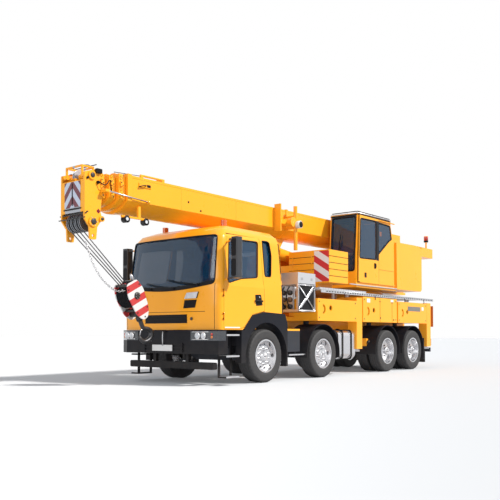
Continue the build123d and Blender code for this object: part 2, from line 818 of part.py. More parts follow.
# Superstructure: turntable, cheek plates for the boom's pivot, and the housings beside
pivot_x, pivot_z = boom_pivot
cheek_points = (
    (-3900, turntable_low + turntable_plate),
    (-4450, 2560),
    (-5400, 2700),
    (-6400, pivot_z + 190),
    (pivot_x, pivot_z + 250),
    (pivot_x - 190, pivot_z + 100),
    (-7080, 2700),
    (-7080, turntable_low + turntable_plate),
)
cheek = across(cheek_points, cheek_inner_y, cheek_inner_y + cheek_plate)
table_y = cheek_inner_y + 90
table_high = turntable_low + turntable_plate
turntable = block(-7080, -3900, -table_y, table_y, turntable_low, table_high)
ring_low = slew_ring_high + running_gap
turntable += bar((slew_x, 0, ring_low), (slew_x, 0, turntable_low), slew_ring_radius - 20)
house_points = (
    (-5210, house_low),
    (-5190, 3180),
    (-6240, 3200),
    (-6600, 3150),
    (-6600, house_low + 60),
    (-6540, house_low),
)
left_house = across(house_points, cheek_inner_y + cheek_plate, body_half, 30)
right_house = mirrored(left_house) - block(-7000, -5000, -body_half - 150, -400, 2900, 3400)
floor_bridge = block(-5200, -3320, cheek_inner_y, crane_cab_outer_y, turntable_low, crane_cab_low)
pivot_boss = cross_bar(pivot_x, pivot_z, cheek_inner_y + cheek_plate, cheek_inner_y + 100, 130)
barrel_x, barrel_z = barrel_pivot
lug_near_y = eye_half + running_gap
barrel_lug = block(barrel_x - 120, barrel_x + 120, lug_near_y, eye_half + 50, table_high, barrel_z)
barrel_lug += cross_bar(barrel_x, barrel_z, lug_near_y, eye_half + 50, 120)
rear_unit = block(rear_end_x, -6620, 620, body_half - 10, 2950, 3200)
rear_unit += block(-6700, -6600, 620, body_half - 50, 2960, 3140)
superstructure = turntable + both_sides(cheek + pivot_boss + barrel_lug)
superstructure += left_house + right_house + floor_bridge + rear_unit
# Winch: a drum between two flanges
superstructure += cross_bar(-6960, 2500, -cheek_inner_y, cheek_inner_y, 150)
for flange_y in (-360, 330):
    superstructure += cross_bar(-6960, 2500, flange_y, flange_y + 30, 230)
# Work beacon on an arm behind the left housing
beacon_x = rear_end_x + 98
superstructure += block(rear_end_x + 60, -6620, 1080, 1120, 3195, 3235)
superstructure += bar((beacon_x, 1100, 3230), (beacon_x, 1100, 3400), 22)
superstructure += bar((beacon_x, 1100, 3400), (beacon_x, 1100, 3560), 56)
nodes["superstructure"] = superstructure

# Crane cab, hollow, left of the boom
crane_cab_points = (
    (-3300, crane_cab_low),
    (-3312, 2600),
    (-3385, crane_cab_high - 25),
    (-4925, crane_cab_high),
    (-4960, crane_cab_high - 150),
    (-5060, 3180),
    (-5130, 3180),
    (-5130, crane_cab_low),
)
crane_outer = across(crane_cab_points, crane_cab_inner_y, crane_cab_outer_y, 30)


# The crane cab's outer form, or the same form set inwards all round
def crane_cab_form(inset):
    inner_face = offset(outline(crane_cab_points, 30), -inset)
    inner_face = Plane.XZ.offset(inset - crane_cab_outer_y) * inner_face
    return extrude(inner_face, amount=crane_cab_outer_y - crane_cab_inner_y - 2 * inset)


crane_inner = crane_cab_form(crane_cab_wall)
door_sill = crane_cab_low + 65
door_head = crane_cab_high - 84
window_head = crane_cab_high - 130
crane_door_points = (
    (-3352, door_sill),
    (-3362, 2590),
    (-3420, door_head),
    (-4290, door_head),
    (-4290, door_sill),
)
crane_door_window_points = (
    (-3405, 2640),
    (-3450, window_head - 10),
    (-4180, window_head + 5),
    (-4180, 2660),
)
crane_rear_window_points = (
    (-4330, 2790),
    (-4330, window_head),
    (-4930, window_head - 15),
    (-5010, 3215),
    (-4920, 3200),
)
crane_front_window_points = (
    (crane_cab_inner_y + 55, 2350),
    (crane_cab_outer_y - 50, 2350),
    (crane_cab_outer_y - 50, crane_cab_high - 100),
    (crane_cab_inner_y + 55, crane_cab_high - 100),
)
crane_side_window_points = (
    (-3470, 2650),
    (-3510, window_head),
    (-4700, window_head),
    (-4700, 2900),
)
crane_front_cut = along(crane_front_window_points, -3600, -3200, 30)
left_cut_y = (crane_cab_outer_y - crane_cab_wall - 1, crane_cab_outer_y + 1)
right_cut_y = (crane_cab_inner_y - 1, crane_cab_inner_y + crane_cab_wall + 1)
crane_rear_cut = across(crane_rear_window_points, *left_cut_y, 20)
crane_right_cut = across(crane_side_window_points, *right_cut_y, 20)
crane_shell = crane_outer - crane_inner - crane_front_cut - crane_rear_cut - crane_right_cut
crane_shell -= across(crane_door_points, *left_cut_y)
crane_door_y = crane_cab_outer_y + moving_gap
rail_y = crane_door_y + slide_door_thick
for rail_low_z in (door_sill - running_gap - 16, door_head + running_gap):
    crane_shell += block(-5110, -3420, crane_cab_outer_y, rail_y, rail_low_z, rail_low_z + 16)
nodes["crane_cab"] = crane_shell
panes = crane_cab_form(glass_inset) - crane_cab_form(glass_inset + glass_thick)
nodes["crane_cab_glass"] = panes & (crane_front_cut + crane_rear_cut + crane_right_cut)
crane_door = across(crane_door_points, crane_door_y, crane_door_y + slide_door_thick)
door_cut_y = (crane_door_y - 1, crane_door_y + slide_door_thick + 1)
crane_door_cut = across(crane_door_window_points, *door_cut_y, 30)
nodes["crane_door"] = crane_door - crane_door_cut
pane_y = crane_door_y + glass_inset
nodes["crane_door_glass"] = across(crane_door_window_points, pane_y, pane_y + glass_thick, 30)
seat_y = (crane_cab_inner_y + crane_cab_outer_y) / 2
seat_back_points = ((-4560, 2520), (-4440, 2520), (-4600, 3160), (-4700, 3160))
crane_seat = block(-4560, -4060, seat_y - 230, seat_y + 230, 2440, 2560)
crane_seat += across(seat_back_points, seat_y - 220, seat_y + 220, 30)
crane_floor = crane_cab_low + crane_cab_wall
crane_seat += block(-4480, -4160, seat_y - 130, seat_y + 130, crane_floor, 2440)
crane_seat += block(-3640, -3480, seat_y - 230, seat_y + 150, crane_floor, 2650)
nodes["crane_cab_interior"] = crane_seat

# Boom, drawn level with its pivot at the origin and then tilted into its rest
boom_place = Pos(pivot_x, 0, pivot_z) * Rot(Y=boom_tilt)


# Cross-section of a boom section, smaller by an inset on every side
def boom_section_face(inset, x):
    half = boom_half - inset
    top = boom_top - inset
    crease = boom_crease
    bottom = boom_bottom + inset
    left = Line((-half, crease), (-half, top))
    roof = Line((-half, top), (half, top))
    right = Line((half, top), (half, crease))
    belly = ThreePointArc((half, crease), (0, bottom), (-half, crease))
    return Plane.YZ.offset(x) * make_face([left, roof, right, belly])


# An open tube of the boom's cross-section
def boom_tube(inset, wall, x_low, x_high):
    tube = extrude(boom_section_face(inset, x_low), amount=x_high - x_low)
    bore = extrude(boom_section_face(inset + wall, x_low - 1), amount=x_high - x_low + 2)
    return tube - bore


base = boom_tube(0, boom_plate, -boom_tail, boom_nose)
base += boom_tube(-collar_rise, boom_plate + collar_rise, boom_nose - collar_length, boom_nose)
base += boom_tube(-collar_rise, boom_plate + collar_rise, 5000, 5060)
pad_thick = section_inset - boom_plate - running_gap
base += boom_tube(boom_plate, pad_thick, boom_nose - pad_length, boom_nose)
eye_x, eye_z = eye_offset
lug_points = (
    (eye_x - 420, boom_crease - 60),
    (eye_x - 120, eye_z - 60),
    (eye_x + 60, eye_z - 120),
    (eye_x + 150, eye_z),
    (eye_x + 520, boom_crease - 60),
)
lug_inner_y = eye_half + running_gap
lug = across(lug_points, lug_inner_y, lug_inner_y + lug_plate)
lug -= extrude(boom_section_face(boom_plate - 1, eye_x - 600), amount=1400)
lug_outer_y = lug_inner_y + lug_plate
lug += cross_bar(eye_x, eye_z, lug_outer_y, lug_outer_y + 60, 90)
base += both_sides(lug)
base += both_sides(cross_bar(0, 0, boom_half - boom_plate / 2, cheek_inner_y - running_gap, 120))

# Holder for a folding jib on the boom's left: a post on two arms, a boss and a side plate
post_x = 5008
post_y = 620
holder = bar((post_x, post_y, -510), (post_x, post_y, 430), 42)
for arm_z in (-20, 200):
    holder += block(post_x - 35, post_x + 35, boom_half - 2, post_y, arm_z - 30, arm_z + 30)
holder += cross_bar(post_x + 127, 78, boom_half - 2, 640, 86)
holder += cross_bar(post_x + 127, 78, 640, 668, 104)
holder += block(post_x + 420, post_x + 450, boom_half - 2, 560, -136, 440)
holder += block(post_x + 127, post_x + 430, 500, 540, 30, 120)
base += holder

# Work lamps on an arm under the boom's nose
lamp_x = boom_nose - 440
base += block(lamp_x, lamp_x + 520, 330, 370, -340, -310)
base += block(lamp_x + 120, lamp_x + 170, 330, 370, -320, -120)
for offset_x in (20, 440):
    base += cross_bar(lamp_x + offset_x, -370, 310, 390, 58)
nodes["boom_base"] = boom_place * base

for number in range(1, section_count + 1):
    inset = number * section_inset
    nose = boom_nose + number * section_step
    tail = -boom_tail + number * section_rear_gap
    section = boom_tube(inset, boom_plate - 2, tail, nose)
    collar_inset = inset - 2 * collar_rise
    section += boom_tube(collar_inset, boom_plate - 2 + 2 * collar_rise, nose - collar_length, nose)
    # Blocks that hold the slide pads' screws, on the collar's top and sides
    face_z = boom_top - collar_inset
    face_y = boom_half - collar_inset
    blocks = block(nose - 76, nose - 22, 150, 240, face_z, face_z + 30)
    blocks += block(nose - 76, nose - 22, face_y, face_y + 30, 150, 230)
    blocks += block(nose - 76, nose - 22, face_y, face_y + 30, -50, 30)
    section += both_sides(blocks)
    if number < section_count:
        section += boom_tube(inset + boom_plate - 2, pad_thick + 2, nose - pad_length, nose)
    else:
        head_x = nose
        plate_points = (
            (head_x - 100, boom_top - 60),
            (head_x + 70, boom_top),
            (head_x + 285, boom_top - 70),
            (head_x + 285, -440),
            (head_x + 190, -560),
            (head_x + 180, -760),
            (head_x + 60, -760),
            (head_x + 40, -560),
            (head_x - 60, -420),
            (head_x - 20, -300),
        )
        plate_y = boom_half - inset
        plate = across(plate_points, plate_y, plate_y + 36, 20)
        plate -= cross_bar(head_x + 120, -700, plate_y - 10, plate_y + 50, 25)
        section += both_sides(plate)
        section += cross_bar(head_x + 130, -480, -plate_y - 36, plate_y + 36, 50)
        section += cross_bar(head_x + 150, boom_top - 110, -plate_y - 36, plate_y + 36, 50)
        for sheave_y in (-150, -50, 50, 150):
            section += sheave(head_x + 130, -480, sheave_y, sheave_radius)
        section += sheave(head_x + 150, boom_top - 110, 0, 120)
        section += block(head_x + 270, head_x + 285, -plate_y, plate_y, -330, 180)
        # Ears and bosses on the head's outer faces, and a guard over the top sheave
        for boss_x, boss_z, boss_radius in ((130, -480, 82), (150, 258, 70), (-40, -420, 46)):
            boss = cross_bar(head_x + boss_x, boss_z, plate_y + 36, plate_y + 62, boss_radius)
            section += both_sides(boss)
        guard = block(head_x + 26, head_x + 264, 186, plate_y + 2, 236, 264)
        guard += block(head_x + 26, head_x + 264, 186, 214, 400, 426)
        for guard_x in (26, 236):
            guard += block(head_x + guard_x, head_x + guard_x + 28, 186, 214, 236, 426)
            guard += block(head_x + guard_x, head_x + guard_x + 28, 0, 214, 400, 426)
        section += both_sides(guard)
    nodes[f"boom_section_{number}"] = boom_place * section

# Luffing cylinder: its barrel swings on the turntable, its rod reaches the boom's lug
eye_point = boom_place * Pos(eye_x, 0, eye_z)
eye_world = Vector(*eye_point.position)
reach_x = eye_world.X - barrel_x
reach_z = eye_world.Z - barrel_z
cylinder_length = hypot(reach_x, reach_z)
cylinder_angle = degrees(atan2(reach_z, reach_x))
cylinder_place = Pos(barrel_x, 0, barrel_z) * Rot(Y=-cylinder_angle)
barrel = bar((150, 0, 0), (cylinder_length - 210, 0, 0), barrel_radius)
barrel -= bar((190, 0, 0), (cylinder_length - 200, 0, 0), rod_radius + running_gap)
barrel += cross_bar(0, 0, -eye_half, eye_half, 100) + block(0, 160, -70, 70, -90, 90)
gland = bar((cylinder_length - 300, 0, 0), (cylinder_length - 210, 0, 0), barrel_radius + 8)
barrel += gland - bar((190, 0, 0), (cylinder_length - 200, 0, 0), rod_radius + running_gap)
nodes["luffing_barrel"] = cylinder_place * barrel
rod = bar((220, 0, 0), (cylinder_length - 60, 0, 0), rod_radius)
rod += cross_bar(cylinder_length, 0, -eye_half, eye_half, eye_radius)
nodes["luffing_rod"] = cylinder_place * rod

# Hook block, slung back from the head to the bumper by four falls of rope
block_top = (2340, 1800)
block_foot = (1750, 650)
block_angle = degrees(atan2(block_top[0] - block_foot[0], block_top[1] - block_foot[1]))
block_place = Pos(block_top[0], 0, block_top[1]) * Rot(Y=block_angle)
cheek_outline = (
    (-120, 0),
    (120, 0),
    (190, -200),
    (150, -560),
    (60, -700),
    (-60, -700),
    (-150, -560),
    (-190, -200),
)
hook_block = both_sides(across(cheek_outline, 150, 170, 20))
for sheave_y in (-105, -35, 35, 105):
    hook_block += sheave(0, -260, sheave_y, 205)
hook_block += cross_bar(0, -260, -185, 185, 40) + cross_bar(0, -600, -150, 150, 60)
hook_block += bar((0, 0, -640), (0, 0, -860), 48)
hook_outline = Plane.XZ.offset(-35) * make_face(
    [
        ThreePointArc((-50, -860), (-200, -1010), (0, -1160)),
        ThreePointArc((0, -1160), (150, -1090), (170, -960)),
        Line((170, -960), (95, -970)),
        ThreePointArc((95, -970), (0, -1060), (-90, -990)),
        ThreePointArc((-90, -990), (-60, -920), (50, -880)),
        Line((50, -880), (50, -840)),
        Line((50, -840), (-50, -840)),
        Line((-50, -840), (-50, -860)),
    ]
)
hook_block += extrude(hook_outline, amount=70)
hook_block = block_place * hook_block
head_point = boom_place * Pos(head_x + 130, 0, -480)
head_world = Vector(*head_point.position)
for fall_y in (-150, -50, 50, 150):
    fall_foot = Vector(block_top[0] - 40, fall_y * 0.7, block_top[1] - 120)
    fall_x = head_world.X - fall_foot.X
    fall_z = head_world.Z - fall_foot.Z
    wrap = sheave_radius - groove_depth + rope_radius + 2 * running_gap
    slope = atan2(fall_z, fall_x) - asin(wrap / hypot(fall_x, fall_z))
    fall_head = (head_world.X + wrap * sin(slope), fall_y, head_world.Z - wrap * cos(slope))
    hook_block += bar(fall_head, fall_foot, rope_radius)
nodes["hook_block"] = hook_block

os.makedirs("parts", exist_ok=True)
for name, shape in nodes.items():
    export_step(Pos(-origin_x, 0, tyre_radius - axle_height) * shape, f"parts/{name}.step")
print(len(nodes), "nodes")
print("boom pivot", pivot_x - origin_x, pivot_z)
print("cylinder", cylinder_length, cylinder_angle)
print("head", head_world.X - origin_x, head_world.Z)
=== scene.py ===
import bpy
import numpy as np
from math import atan2, cos, hypot, pi, radians, sin
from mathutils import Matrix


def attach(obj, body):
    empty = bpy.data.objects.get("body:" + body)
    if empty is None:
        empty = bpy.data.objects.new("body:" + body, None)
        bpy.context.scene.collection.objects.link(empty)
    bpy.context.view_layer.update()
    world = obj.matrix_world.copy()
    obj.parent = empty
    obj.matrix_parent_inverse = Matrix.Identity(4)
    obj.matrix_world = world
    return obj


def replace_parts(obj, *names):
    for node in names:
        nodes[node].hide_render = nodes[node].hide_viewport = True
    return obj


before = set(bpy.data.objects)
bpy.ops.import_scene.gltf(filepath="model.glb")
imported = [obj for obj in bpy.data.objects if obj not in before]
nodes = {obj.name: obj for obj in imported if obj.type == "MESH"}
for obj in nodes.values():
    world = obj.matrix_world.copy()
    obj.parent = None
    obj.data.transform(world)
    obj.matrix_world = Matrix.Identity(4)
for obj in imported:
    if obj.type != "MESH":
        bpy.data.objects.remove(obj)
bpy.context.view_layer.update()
print("stage: frame loaded,", len(nodes), "nodes")

# Camera and light, in metres and degrees

view = {
    "place": (12.0062, 9.1857, 0.9191),
    "heading": 217.916,
    "rise": 1.7044,
    "lens": 49.344,
    "shift": (-0.0410, 0.1262),
    "skyFill": 0.60,
    "frontLift": 0.85,
    "sunPower": 4.6,
    "sunTurn": (-50, 0, 24),
    "sunColour": (1.0, 0.97, 0.92),
    "liftTurn": (0, 72, -4),
    "sunSoftness": 5,
}

camera = bpy.data.objects.new("camera", bpy.data.cameras.new("camera"))
bpy.context.scene.collection.objects.link(camera)
camera.location = view["place"]
camera.rotation_euler = (radians(90 + view["rise"]), 0, radians(view["heading"] - 90))
camera.data.lens = view["lens"]
camera.data.sensor_width = 36
camera.data.shift_x, camera.data.shift_y = view["shift"]
camera.data.clip_end = 300
bpy.context.scene.camera = camera
bpy.context.scene.view_settings.view_transform = "Standard"


# Shader maths: a Wire holds one socket, and an expression on Wires adds Math nodes

class Wire:
    def __init__(self, net, socket):
        self.net = net
        self.socket = socket

    def join(self, operation, left, right):
        return self.net.make("ShaderNodeMath", {"operation": operation}, left, right)

    def __add__(self, other): return self.join("ADD", self, other)
    def __sub__(self, other): return self.join("SUBTRACT", self, other)
    def __rsub__(self, other): return self.join("SUBTRACT", other, self)
    def __mul__(self, other): return self.join("MULTIPLY", self, other)
    def __mod__(self, other): return self.join("FLOORED_MODULO", self, other)
    def __pow__(self, other): return self.join("POWER", self, other)
    def __gt__(self, other): return self.join("GREATER_THAN", self, other)
    def __lt__(self, other): return self.join("LESS_THAN", self, other)
    def __abs__(self): return self.net.make("ShaderNodeMath", {"operation": "ABSOLUTE"}, self)
    def __neg__(self): return self * -1

    def least(self, other): return self.join("MINIMUM", self, other)
    def most(self, other): return self.join("MAXIMUM", self, other)
    def sine(self): return self.net.make("ShaderNodeMath", {"operation": "SINE"}, self)


class Finish:
    # one material; make() adds any node from its type, settings and inputs

    def __init__(self, name):
        self.material = bpy.data.materials.new(name)
        self.material.use_nodes = True
        self.tree = self.material.node_tree
        self.tree.nodes.clear()
        self.coords = None

    def make(self, kind, settings=None, *inputs, out=0, **named):
        node = self.tree.nodes.new(kind)
        for key, value in (settings or {}).items():
            if key == "stops":
                ramp = node.color_ramp.elements
                while len(ramp) > 1:
                    ramp.remove(ramp[-1])
                for index, (place, colour) in enumerate(value):
                    stop = ramp[0] if index == 0 else ramp.new(place)
                    stop.position = place
                    stop.color = (*colour, 1) if len(colour) == 3 else colour
            else:
                setattr(node, key, value)
        pairs = list(enumerate(inputs)) + [(key.replace("_", " "), value) for key, value in named.items()]
        for key, value in pairs:
            socket = node.inputs[key]
            if isinstance(value, Wire):
                self.tree.links.new(value.socket, socket)
            elif value is not None:
                colourLike = socket.type == "RGBA" and len(value) == 3
                socket.default_value = (*value, 1) if colourLike else value
        return Wire(self, node.outputs[out]) if len(node.outputs) else None

    def place(self):
        if self.coords is None:
            self.coords = self.make("ShaderNodeTexCoord", None, out="Object")
        return self.coords

    def axes(self):
        split = self.make("ShaderNodeSeparateXYZ", None, self.place())
        return [Wire(self, split.socket.node.outputs[index]) for index in range(3)]

    def noise(self, scale, detail=3.0, rough=0.55, vector=None):
        return self.make(
            "ShaderNodeTexNoise", None, vector or self.place(),
            Scale=scale, Detail=detail, Roughness=rough,
        )

    def stretched(self, factors):
        return self.make("ShaderNodeVectorMath", {"operation": "MULTIPLY"}, self.place(), factors)

    def blend(self, factor, first, second):
        node = self.tree.nodes.new("ShaderNodeMix")
        node.data_type = "RGBA"
        for key, value in (("Factor", factor), ("A", first), ("B", second)):
            wanted = "VALUE" if key == "Factor" else "RGBA"
            socket = next(s for s in node.inputs if s.name == key and s.type == wanted)
            if isinstance(value, Wire):
                self.tree.links.new(value.socket, socket)
            else:
                socket.default_value = value if key == "Factor" else (*value, 1)
        return Wire(self, next(s for s in node.outputs if s.type == "RGBA"))

    def bump(self, height, distance, strength=1.0):
        return self.make("ShaderNodeBump", None, Strength=strength, Distance=distance, Height=height)

    def close(self, **named):
        shader = self.make("ShaderNodeBsdfPrincipled", None, **named)
        self.make("ShaderNodeOutputMaterial", None, Surface=shader)
        return self.material


paintLook = {
    "yellow": (0.93, 0.405, 0.018),
    "yellowDeep": (0.90, 0.350, 0.012),
    "frameGrey": ((0.030, 0.034, 0.045), (0.015, 0.016, 0.02)),
    "roomTrim": ((0.05, 0.052, 0.058), (0.03, 0.031, 0.035)),
    "dust": (0.42, 0.36, 0.27),
    "peel": 420,
    "roughness": 0.30,
    "coat": 0.22,
    "shine": 0.25,
    "plasticShine": 0.14,
}


def mixNoise(finish, base, dark, scale):
    # the base colour with slow patches of a slightly darker one
    return finish.blend(finish.noise(scale, 4.0), dark, base)


def paintColour(finish):
    # slow patches of tone and a breath of dust that fades out above the wheels
    x, y, z = finish.axes()
    colour = mixNoise(finish, paintLook["yellow"], paintLook["yellowDeep"], 0.9)
    dust = (1.25 - z).most(0.0) * finish.noise(5.0, 5.0) * 0.18
    return finish.blend(dust.least(0.25), colour, paintLook["dust"]), x, y, z


def closePaint(finish, colour, roughness=paintLook["roughness"], coat=paintLook["coat"]):
    peel = finish.noise(paintLook["peel"], 2.0)
    gloss = finish.noise(3.5, 5.0, 0.7) * 0.16 + roughness - 0.08
    return finish.close(
        Base_Color=colour, Roughness=gloss, Normal=finish.bump(peel, 0.0004, 0.35),
        Coat_Weight=coat, Coat_Roughness=0.12, Specular_IOR_Level=paintLook["shine"],
    )


def yellowPaint():
    finish = Finish("yellow paint")
    return closePaint(finish, paintColour(finish)[0])


def framePaint():
    # chassis grey below the rails' top, yellow above it
    finish = Finish("frame paint")
    colour, x, y, z = paintColour(finish)
    grey = mixNoise(finish, *paintLook["frameGrey"], 3.0)
    return closePaint(finish, finish.blend(z > 0.972, grey, colour), 0.42, 0.15)


def cabPaint():
    # yellow outside; every wall that faces the room inside is dark trim
    finish = Finish("cab paint")
    colour, x, y, z = paintColour(finish)
    half = (1.25 - (z - 1.76).most(0.0) * 0.118).least(1.150 - (z - 2.64) * 0.62)
    front = 3.335 - (z - 1.76).most(0.0) * 0.30
    # distance into the rounded front corner, as seen from above
    ahead, aside = (x - front + 0.16).most(0.0), (abs(y) - half + 0.16).most(0.0)
    inside = (ahead * ahead + aside * aside) < 0.0155
    room = inside * (x > 1.43 + 0.036) * (z > 1.30) * (z < 2.836)
    mirror = (abs(y) > 1.268) * (z > 1.765)
    handle = (abs(y) > 1.2505) * (x > 2.05) * (x < 2.32) * (z > 1.48) * (z < 1.55)
    trim = mixNoise(finish, *paintLook["roomTrim"], 9.0)
    return closePaint(finish, finish.blend(room.most(mirror).most(handle), colour, trim))


def craneCabPaint():
    # the same for the crane's cab: the box inside its walls is dark trim
    finish = Finish("crane cab paint")
    colour, x, y, z = paintColour(finish)
    room = (y > 0.515) * (y < 1.190) * (x < -1.400) * (x > -3.172) * (z > 2.055) * (z < 3.64)
    return closePaint(finish, finish.blend(room, colour, mixNoise(finish, *paintLook["roomTrim"], 9.0)))


def boomPaint():
    # boom yellow; the work lamps below the nose are dark
    finish = Finish("boom paint")
    colour, x, y, z = paintColour(finish)
    level = z + x * 0.0075
    lamps = (level < 2.868) * (level > 2.74) * (x > 4.05) * (abs(y) > 0.30)
    dark = mixNoise(finish, (0.014, 0.014, 0.016), (0.008, 0.008, 0.009), 12.0)
    return closePaint(finish, finish.blend(lamps, colour, dark))


def lampPaint():
    # one node holds every lamp: beacons and tail lamps by their place, dark glass in front
    finish = Finish("lamp lenses")
    x, y, z = finish.axes()
    ribs = (y * 420).sine() * (z * 420).sine()
    smoke = mixNoise(finish, (0.035, 0.042, 0.052), (0.018, 0.02, 0.026), 9.0)
    clear = mixNoise(finish, (0.66, 0.68, 0.72), (0.5, 0.52, 0.56), 14.0)
    red = mixNoise(finish, (0.42, 0.016, 0.010), (0.28, 0.010, 0.008), 14.0)
    amber = mixNoise(finish, (0.70, 0.13, 0.012), (0.5, 0.08, 0.010), 14.0)
    colour = finish.blend(z > 1.2, smoke, clear)
    colour = finish.blend(z > 2.6, colour, amber)
    colour = finish.blend(x < 0.0, colour, red)
    return finish.close(
        Base_Color=colour, Roughness=finish.noise(5.0) * 0.1 + 0.07,
        Normal=finish.bump(ribs, 0.0010, 0.5), Coat_Weight=0.8, Coat_Roughness=0.04,
    )


def headPaint():
    # boom head: yellow plates, and pale nylon sheaves; the lower sheaves are nearly black within 142 mm of
    # their axle
    finish = Finish("head paint")
    colour, x, y, z = paintColour(finish)
    low = (abs(y) < 0.2) * (x > 4.88) * (z < 2.96)
    high = (abs(y) < 0.03) * (x > 4.88) * (z > 3.40)
    nylon = mixNoise(finish, (0.46, 0.48, 0.52), (0.30, 0.31, 0.34), 12.0)
    out = ((x - 5.205) ** 2 + (z - 2.695) ** 2) ** 0.5
    nylon = finish.blend((out < 0.142) * 0.85, nylon, (0.02, 0.02, 0.022))
    return closePaint(finish, finish.blend(low.most(high), colour, nylon))


def mattePlastic(name, colour, deep, roughness=0.5, grain=700):
    finish = Finish(name)
    tone = mixNoise(finish, colour, deep, 4.0)
    x, y, z = finish.axes()
    dust = (1.1 - z).most(0.0) * finish.noise(7.0, 5.0) * 0.10
    return finish.close(
        Base_Color=finish.blend(dust.least(0.12), tone, paintLook["dust"]),
        Roughness=finish.noise(6.0, 4.0) * 0.18 + (roughness - 0.09),
        Normal=finish.bump(finish.noise(grain, 2.0), 0.0006, 0.5),
        Specular_IOR_Level=paintLook["plasticShine"],
    )


def bareMetal(name, colour, roughness=0.3, brushed=(40, 40, 2), metallic=1.0):
    finish = Finish(name)
    lines = finish.noise(9.0, 4.0, 0.6, finish.stretched(brushed))
    return finish.close(
        Base_Color=finish.blend(lines, tuple(0.78 * part for part in colour), colour),
        Metallic=metallic, Roughness=lines * 0.16 + (roughness - 0.06),
        Normal=finish.bump(lines, 0.0008, 0.25),
    )


def glassFinish(name, tint, alpha):
    finish = Finish(name)
    return finish.close(
        Base_Color=tint, Roughness=finish.noise(2.2, 5.0, 0.65) * 0.05 + 0.015, Alpha=alpha,
        Coat_Weight=0.6, Coat_Roughness=0.02,
    )


def lensFinish(name, colour):
    # moulded lens with a fine prism pattern
    finish = Finish(name)
    x, y, z = finish.axes()
    return finish.close(
        Base_Color=mixNoise(finish, colour, tuple(0.6 * part for part in colour), 14.0), Roughness=0.12,
        Normal=finish.bump((y * 520).sine() * (z * 520).sine(), 0.0012, 0.6),
        Coat_Weight=0.8, Coat_Roughness=0.04,
    )


def rubberFinish():
    # tyre rubber: nearly black, with patches of grey dust
    finish = Finish("tyre rubber")
    tone = mixNoise(finish, (0.022, 0.022, 0.025), (0.012, 0.012, 0.014), 6.0)
    return finish.close(
        Base_Color=finish.blend(finish.noise(18.0, 6.0, 0.7) * 0.16, tone, (0.16, 0.15, 0.14)),
        Roughness=finish.noise(10.0, 4.0) * 0.16 + 0.62,
        Normal=finish.bump(finish.noise(260.0, 3.0), 0.0012, 0.5),
    )


def treadPlate():
    # aluminium deck plate: crossed raised bars on a square grid, worn bright on top
    finish = Finish("tread plate")
    x, y, z = finish.axes()
    first, second = ((((x + side) * 62).sine() * 0.5 + 0.5) ** 6 for side in (y, -y))
    bars = first.most(second)
    tone = finish.blend(bars * 0.6, (0.50, 0.51, 0.54), (0.78, 0.79, 0.82))
    tone = finish.blend(finish.noise(3.0, 5.0) * 0.35, tone, (0.36, 0.36, 0.37))
    return finish.close(
        Base_Color=tone, Metallic=0.75, Roughness=finish.noise(11.0, 4.0) * 0.2 + 0.32,
        Normal=finish.bump(bars, 0.002, 0.6),
    )


def bandedPlate(name, levelOf, width, colours, grime=None, gloss=(0.15, 0.32), bump=0.0004):
    # straight bands of two colours: a level that runs across them, cut into pairs of one width
    finish = Finish(name)
    level = levelOf(*finish.axes()) + 40 * width
    colour = finish.blend((level % (2 * width)) < width, *colours)
    if grime:
        colour = finish.blend(finish.noise(9.0, 5.0) * grime[0], colour, grime[1])
    return finish.close(
        Base_Color=colour, Roughness=finish.noise(6.0, 3.0) * gloss[0] + gloss[1],
        Normal=finish.bump(finish.noise(420.0, 2.0), bump, 0.3) if bump else None,
    )


yellow = yellowPaint()
frameMix = framePaint()
cabMix = cabPaint()
craneCabMix = craneCabPaint()
headMix = headPaint()
boomMix = boomPaint()
lampMix = lampPaint()
chassisGrey = mattePlastic("chassis grey", (0.030, 0.034, 0.045), (0.016, 0.017, 0.022), 0.46)
bumperBlack = mattePlastic("bumper plastic", (0.006, 0.007, 0.012), (0.004, 0.004, 0.007), 0.42)
guardGrey = mattePlastic("mudguard plastic", (0.010, 0.011, 0.017), (0.006, 0.007, 0.011), 0.40)
trimBlack = mattePlastic("black trim", (0.010, 0.010, 0.012), (0.006, 0.006, 0.007), 0.36)
sealRubber = mattePlastic("seal rubber", (0.012, 0.012, 0.013), (0.007, 0.007, 0.008), 0.6, 300)
seatCloth = mattePlastic("seat cloth", (0.045, 0.047, 0.055), (0.025, 0.026, 0.032), 0.85, 1400)
darkNylon = mattePlastic("dark nylon", (0.020, 0.020, 0.022), (0.012, 0.012, 0.014), 0.42)
whiteMark = mattePlastic("white plate", (0.72, 0.72, 0.72), (0.64, 0.64, 0.63), 0.42)
orangeMark = mattePlastic("orange sticker", (0.85, 0.26, 0.03), (0.75, 0.2, 0.02), 0.42)
maroonMark = mattePlastic("maroon mark", (0.20, 0.012, 0.030), (0.15, 0.010, 0.022), 0.4)
greyPlate = mattePlastic("blank grey plate", (0.20, 0.19, 0.17), (0.16, 0.15, 0.14), 0.4)
rearPlate = mattePlastic("rear marking plate", (0.55, 0.16, 0.02), (0.40, 0.10, 0.015), 0.4)
tyreRubber = rubberFinish()
wheelAluminium = bareMetal("wheel aluminium", (0.86, 0.86, 0.88), 0.16, (3, 60, 3))
sheetAluminium = bareMetal("sheet aluminium", (0.74, 0.75, 0.78), 0.34, (2, 2, 40))
tankAluminium = bareMetal("tank aluminium", (0.80, 0.80, 0.83), 0.22, (2, 40, 40))
chrome = bareMetal("chromed rod", (0.82, 0.82, 0.84), 0.10, (2, 60, 60))
boltSteel = bareMetal("bolt steel", (0.55, 0.55, 0.57), 0.30, (30, 30, 30))
ropeSteel = bareMetal("rope steel", (0.10, 0.10, 0.11), 0.42, (30, 30, 30), 0.7)
darkSteel = bareMetal("greased steel", (0.055, 0.053, 0.052), 0.40, (20, 20, 20), 0.6)
brownSteel = bareMetal("brown hydraulic parts", (0.16, 0.09, 0.045), 0.45, (20, 20, 20), 0.3)
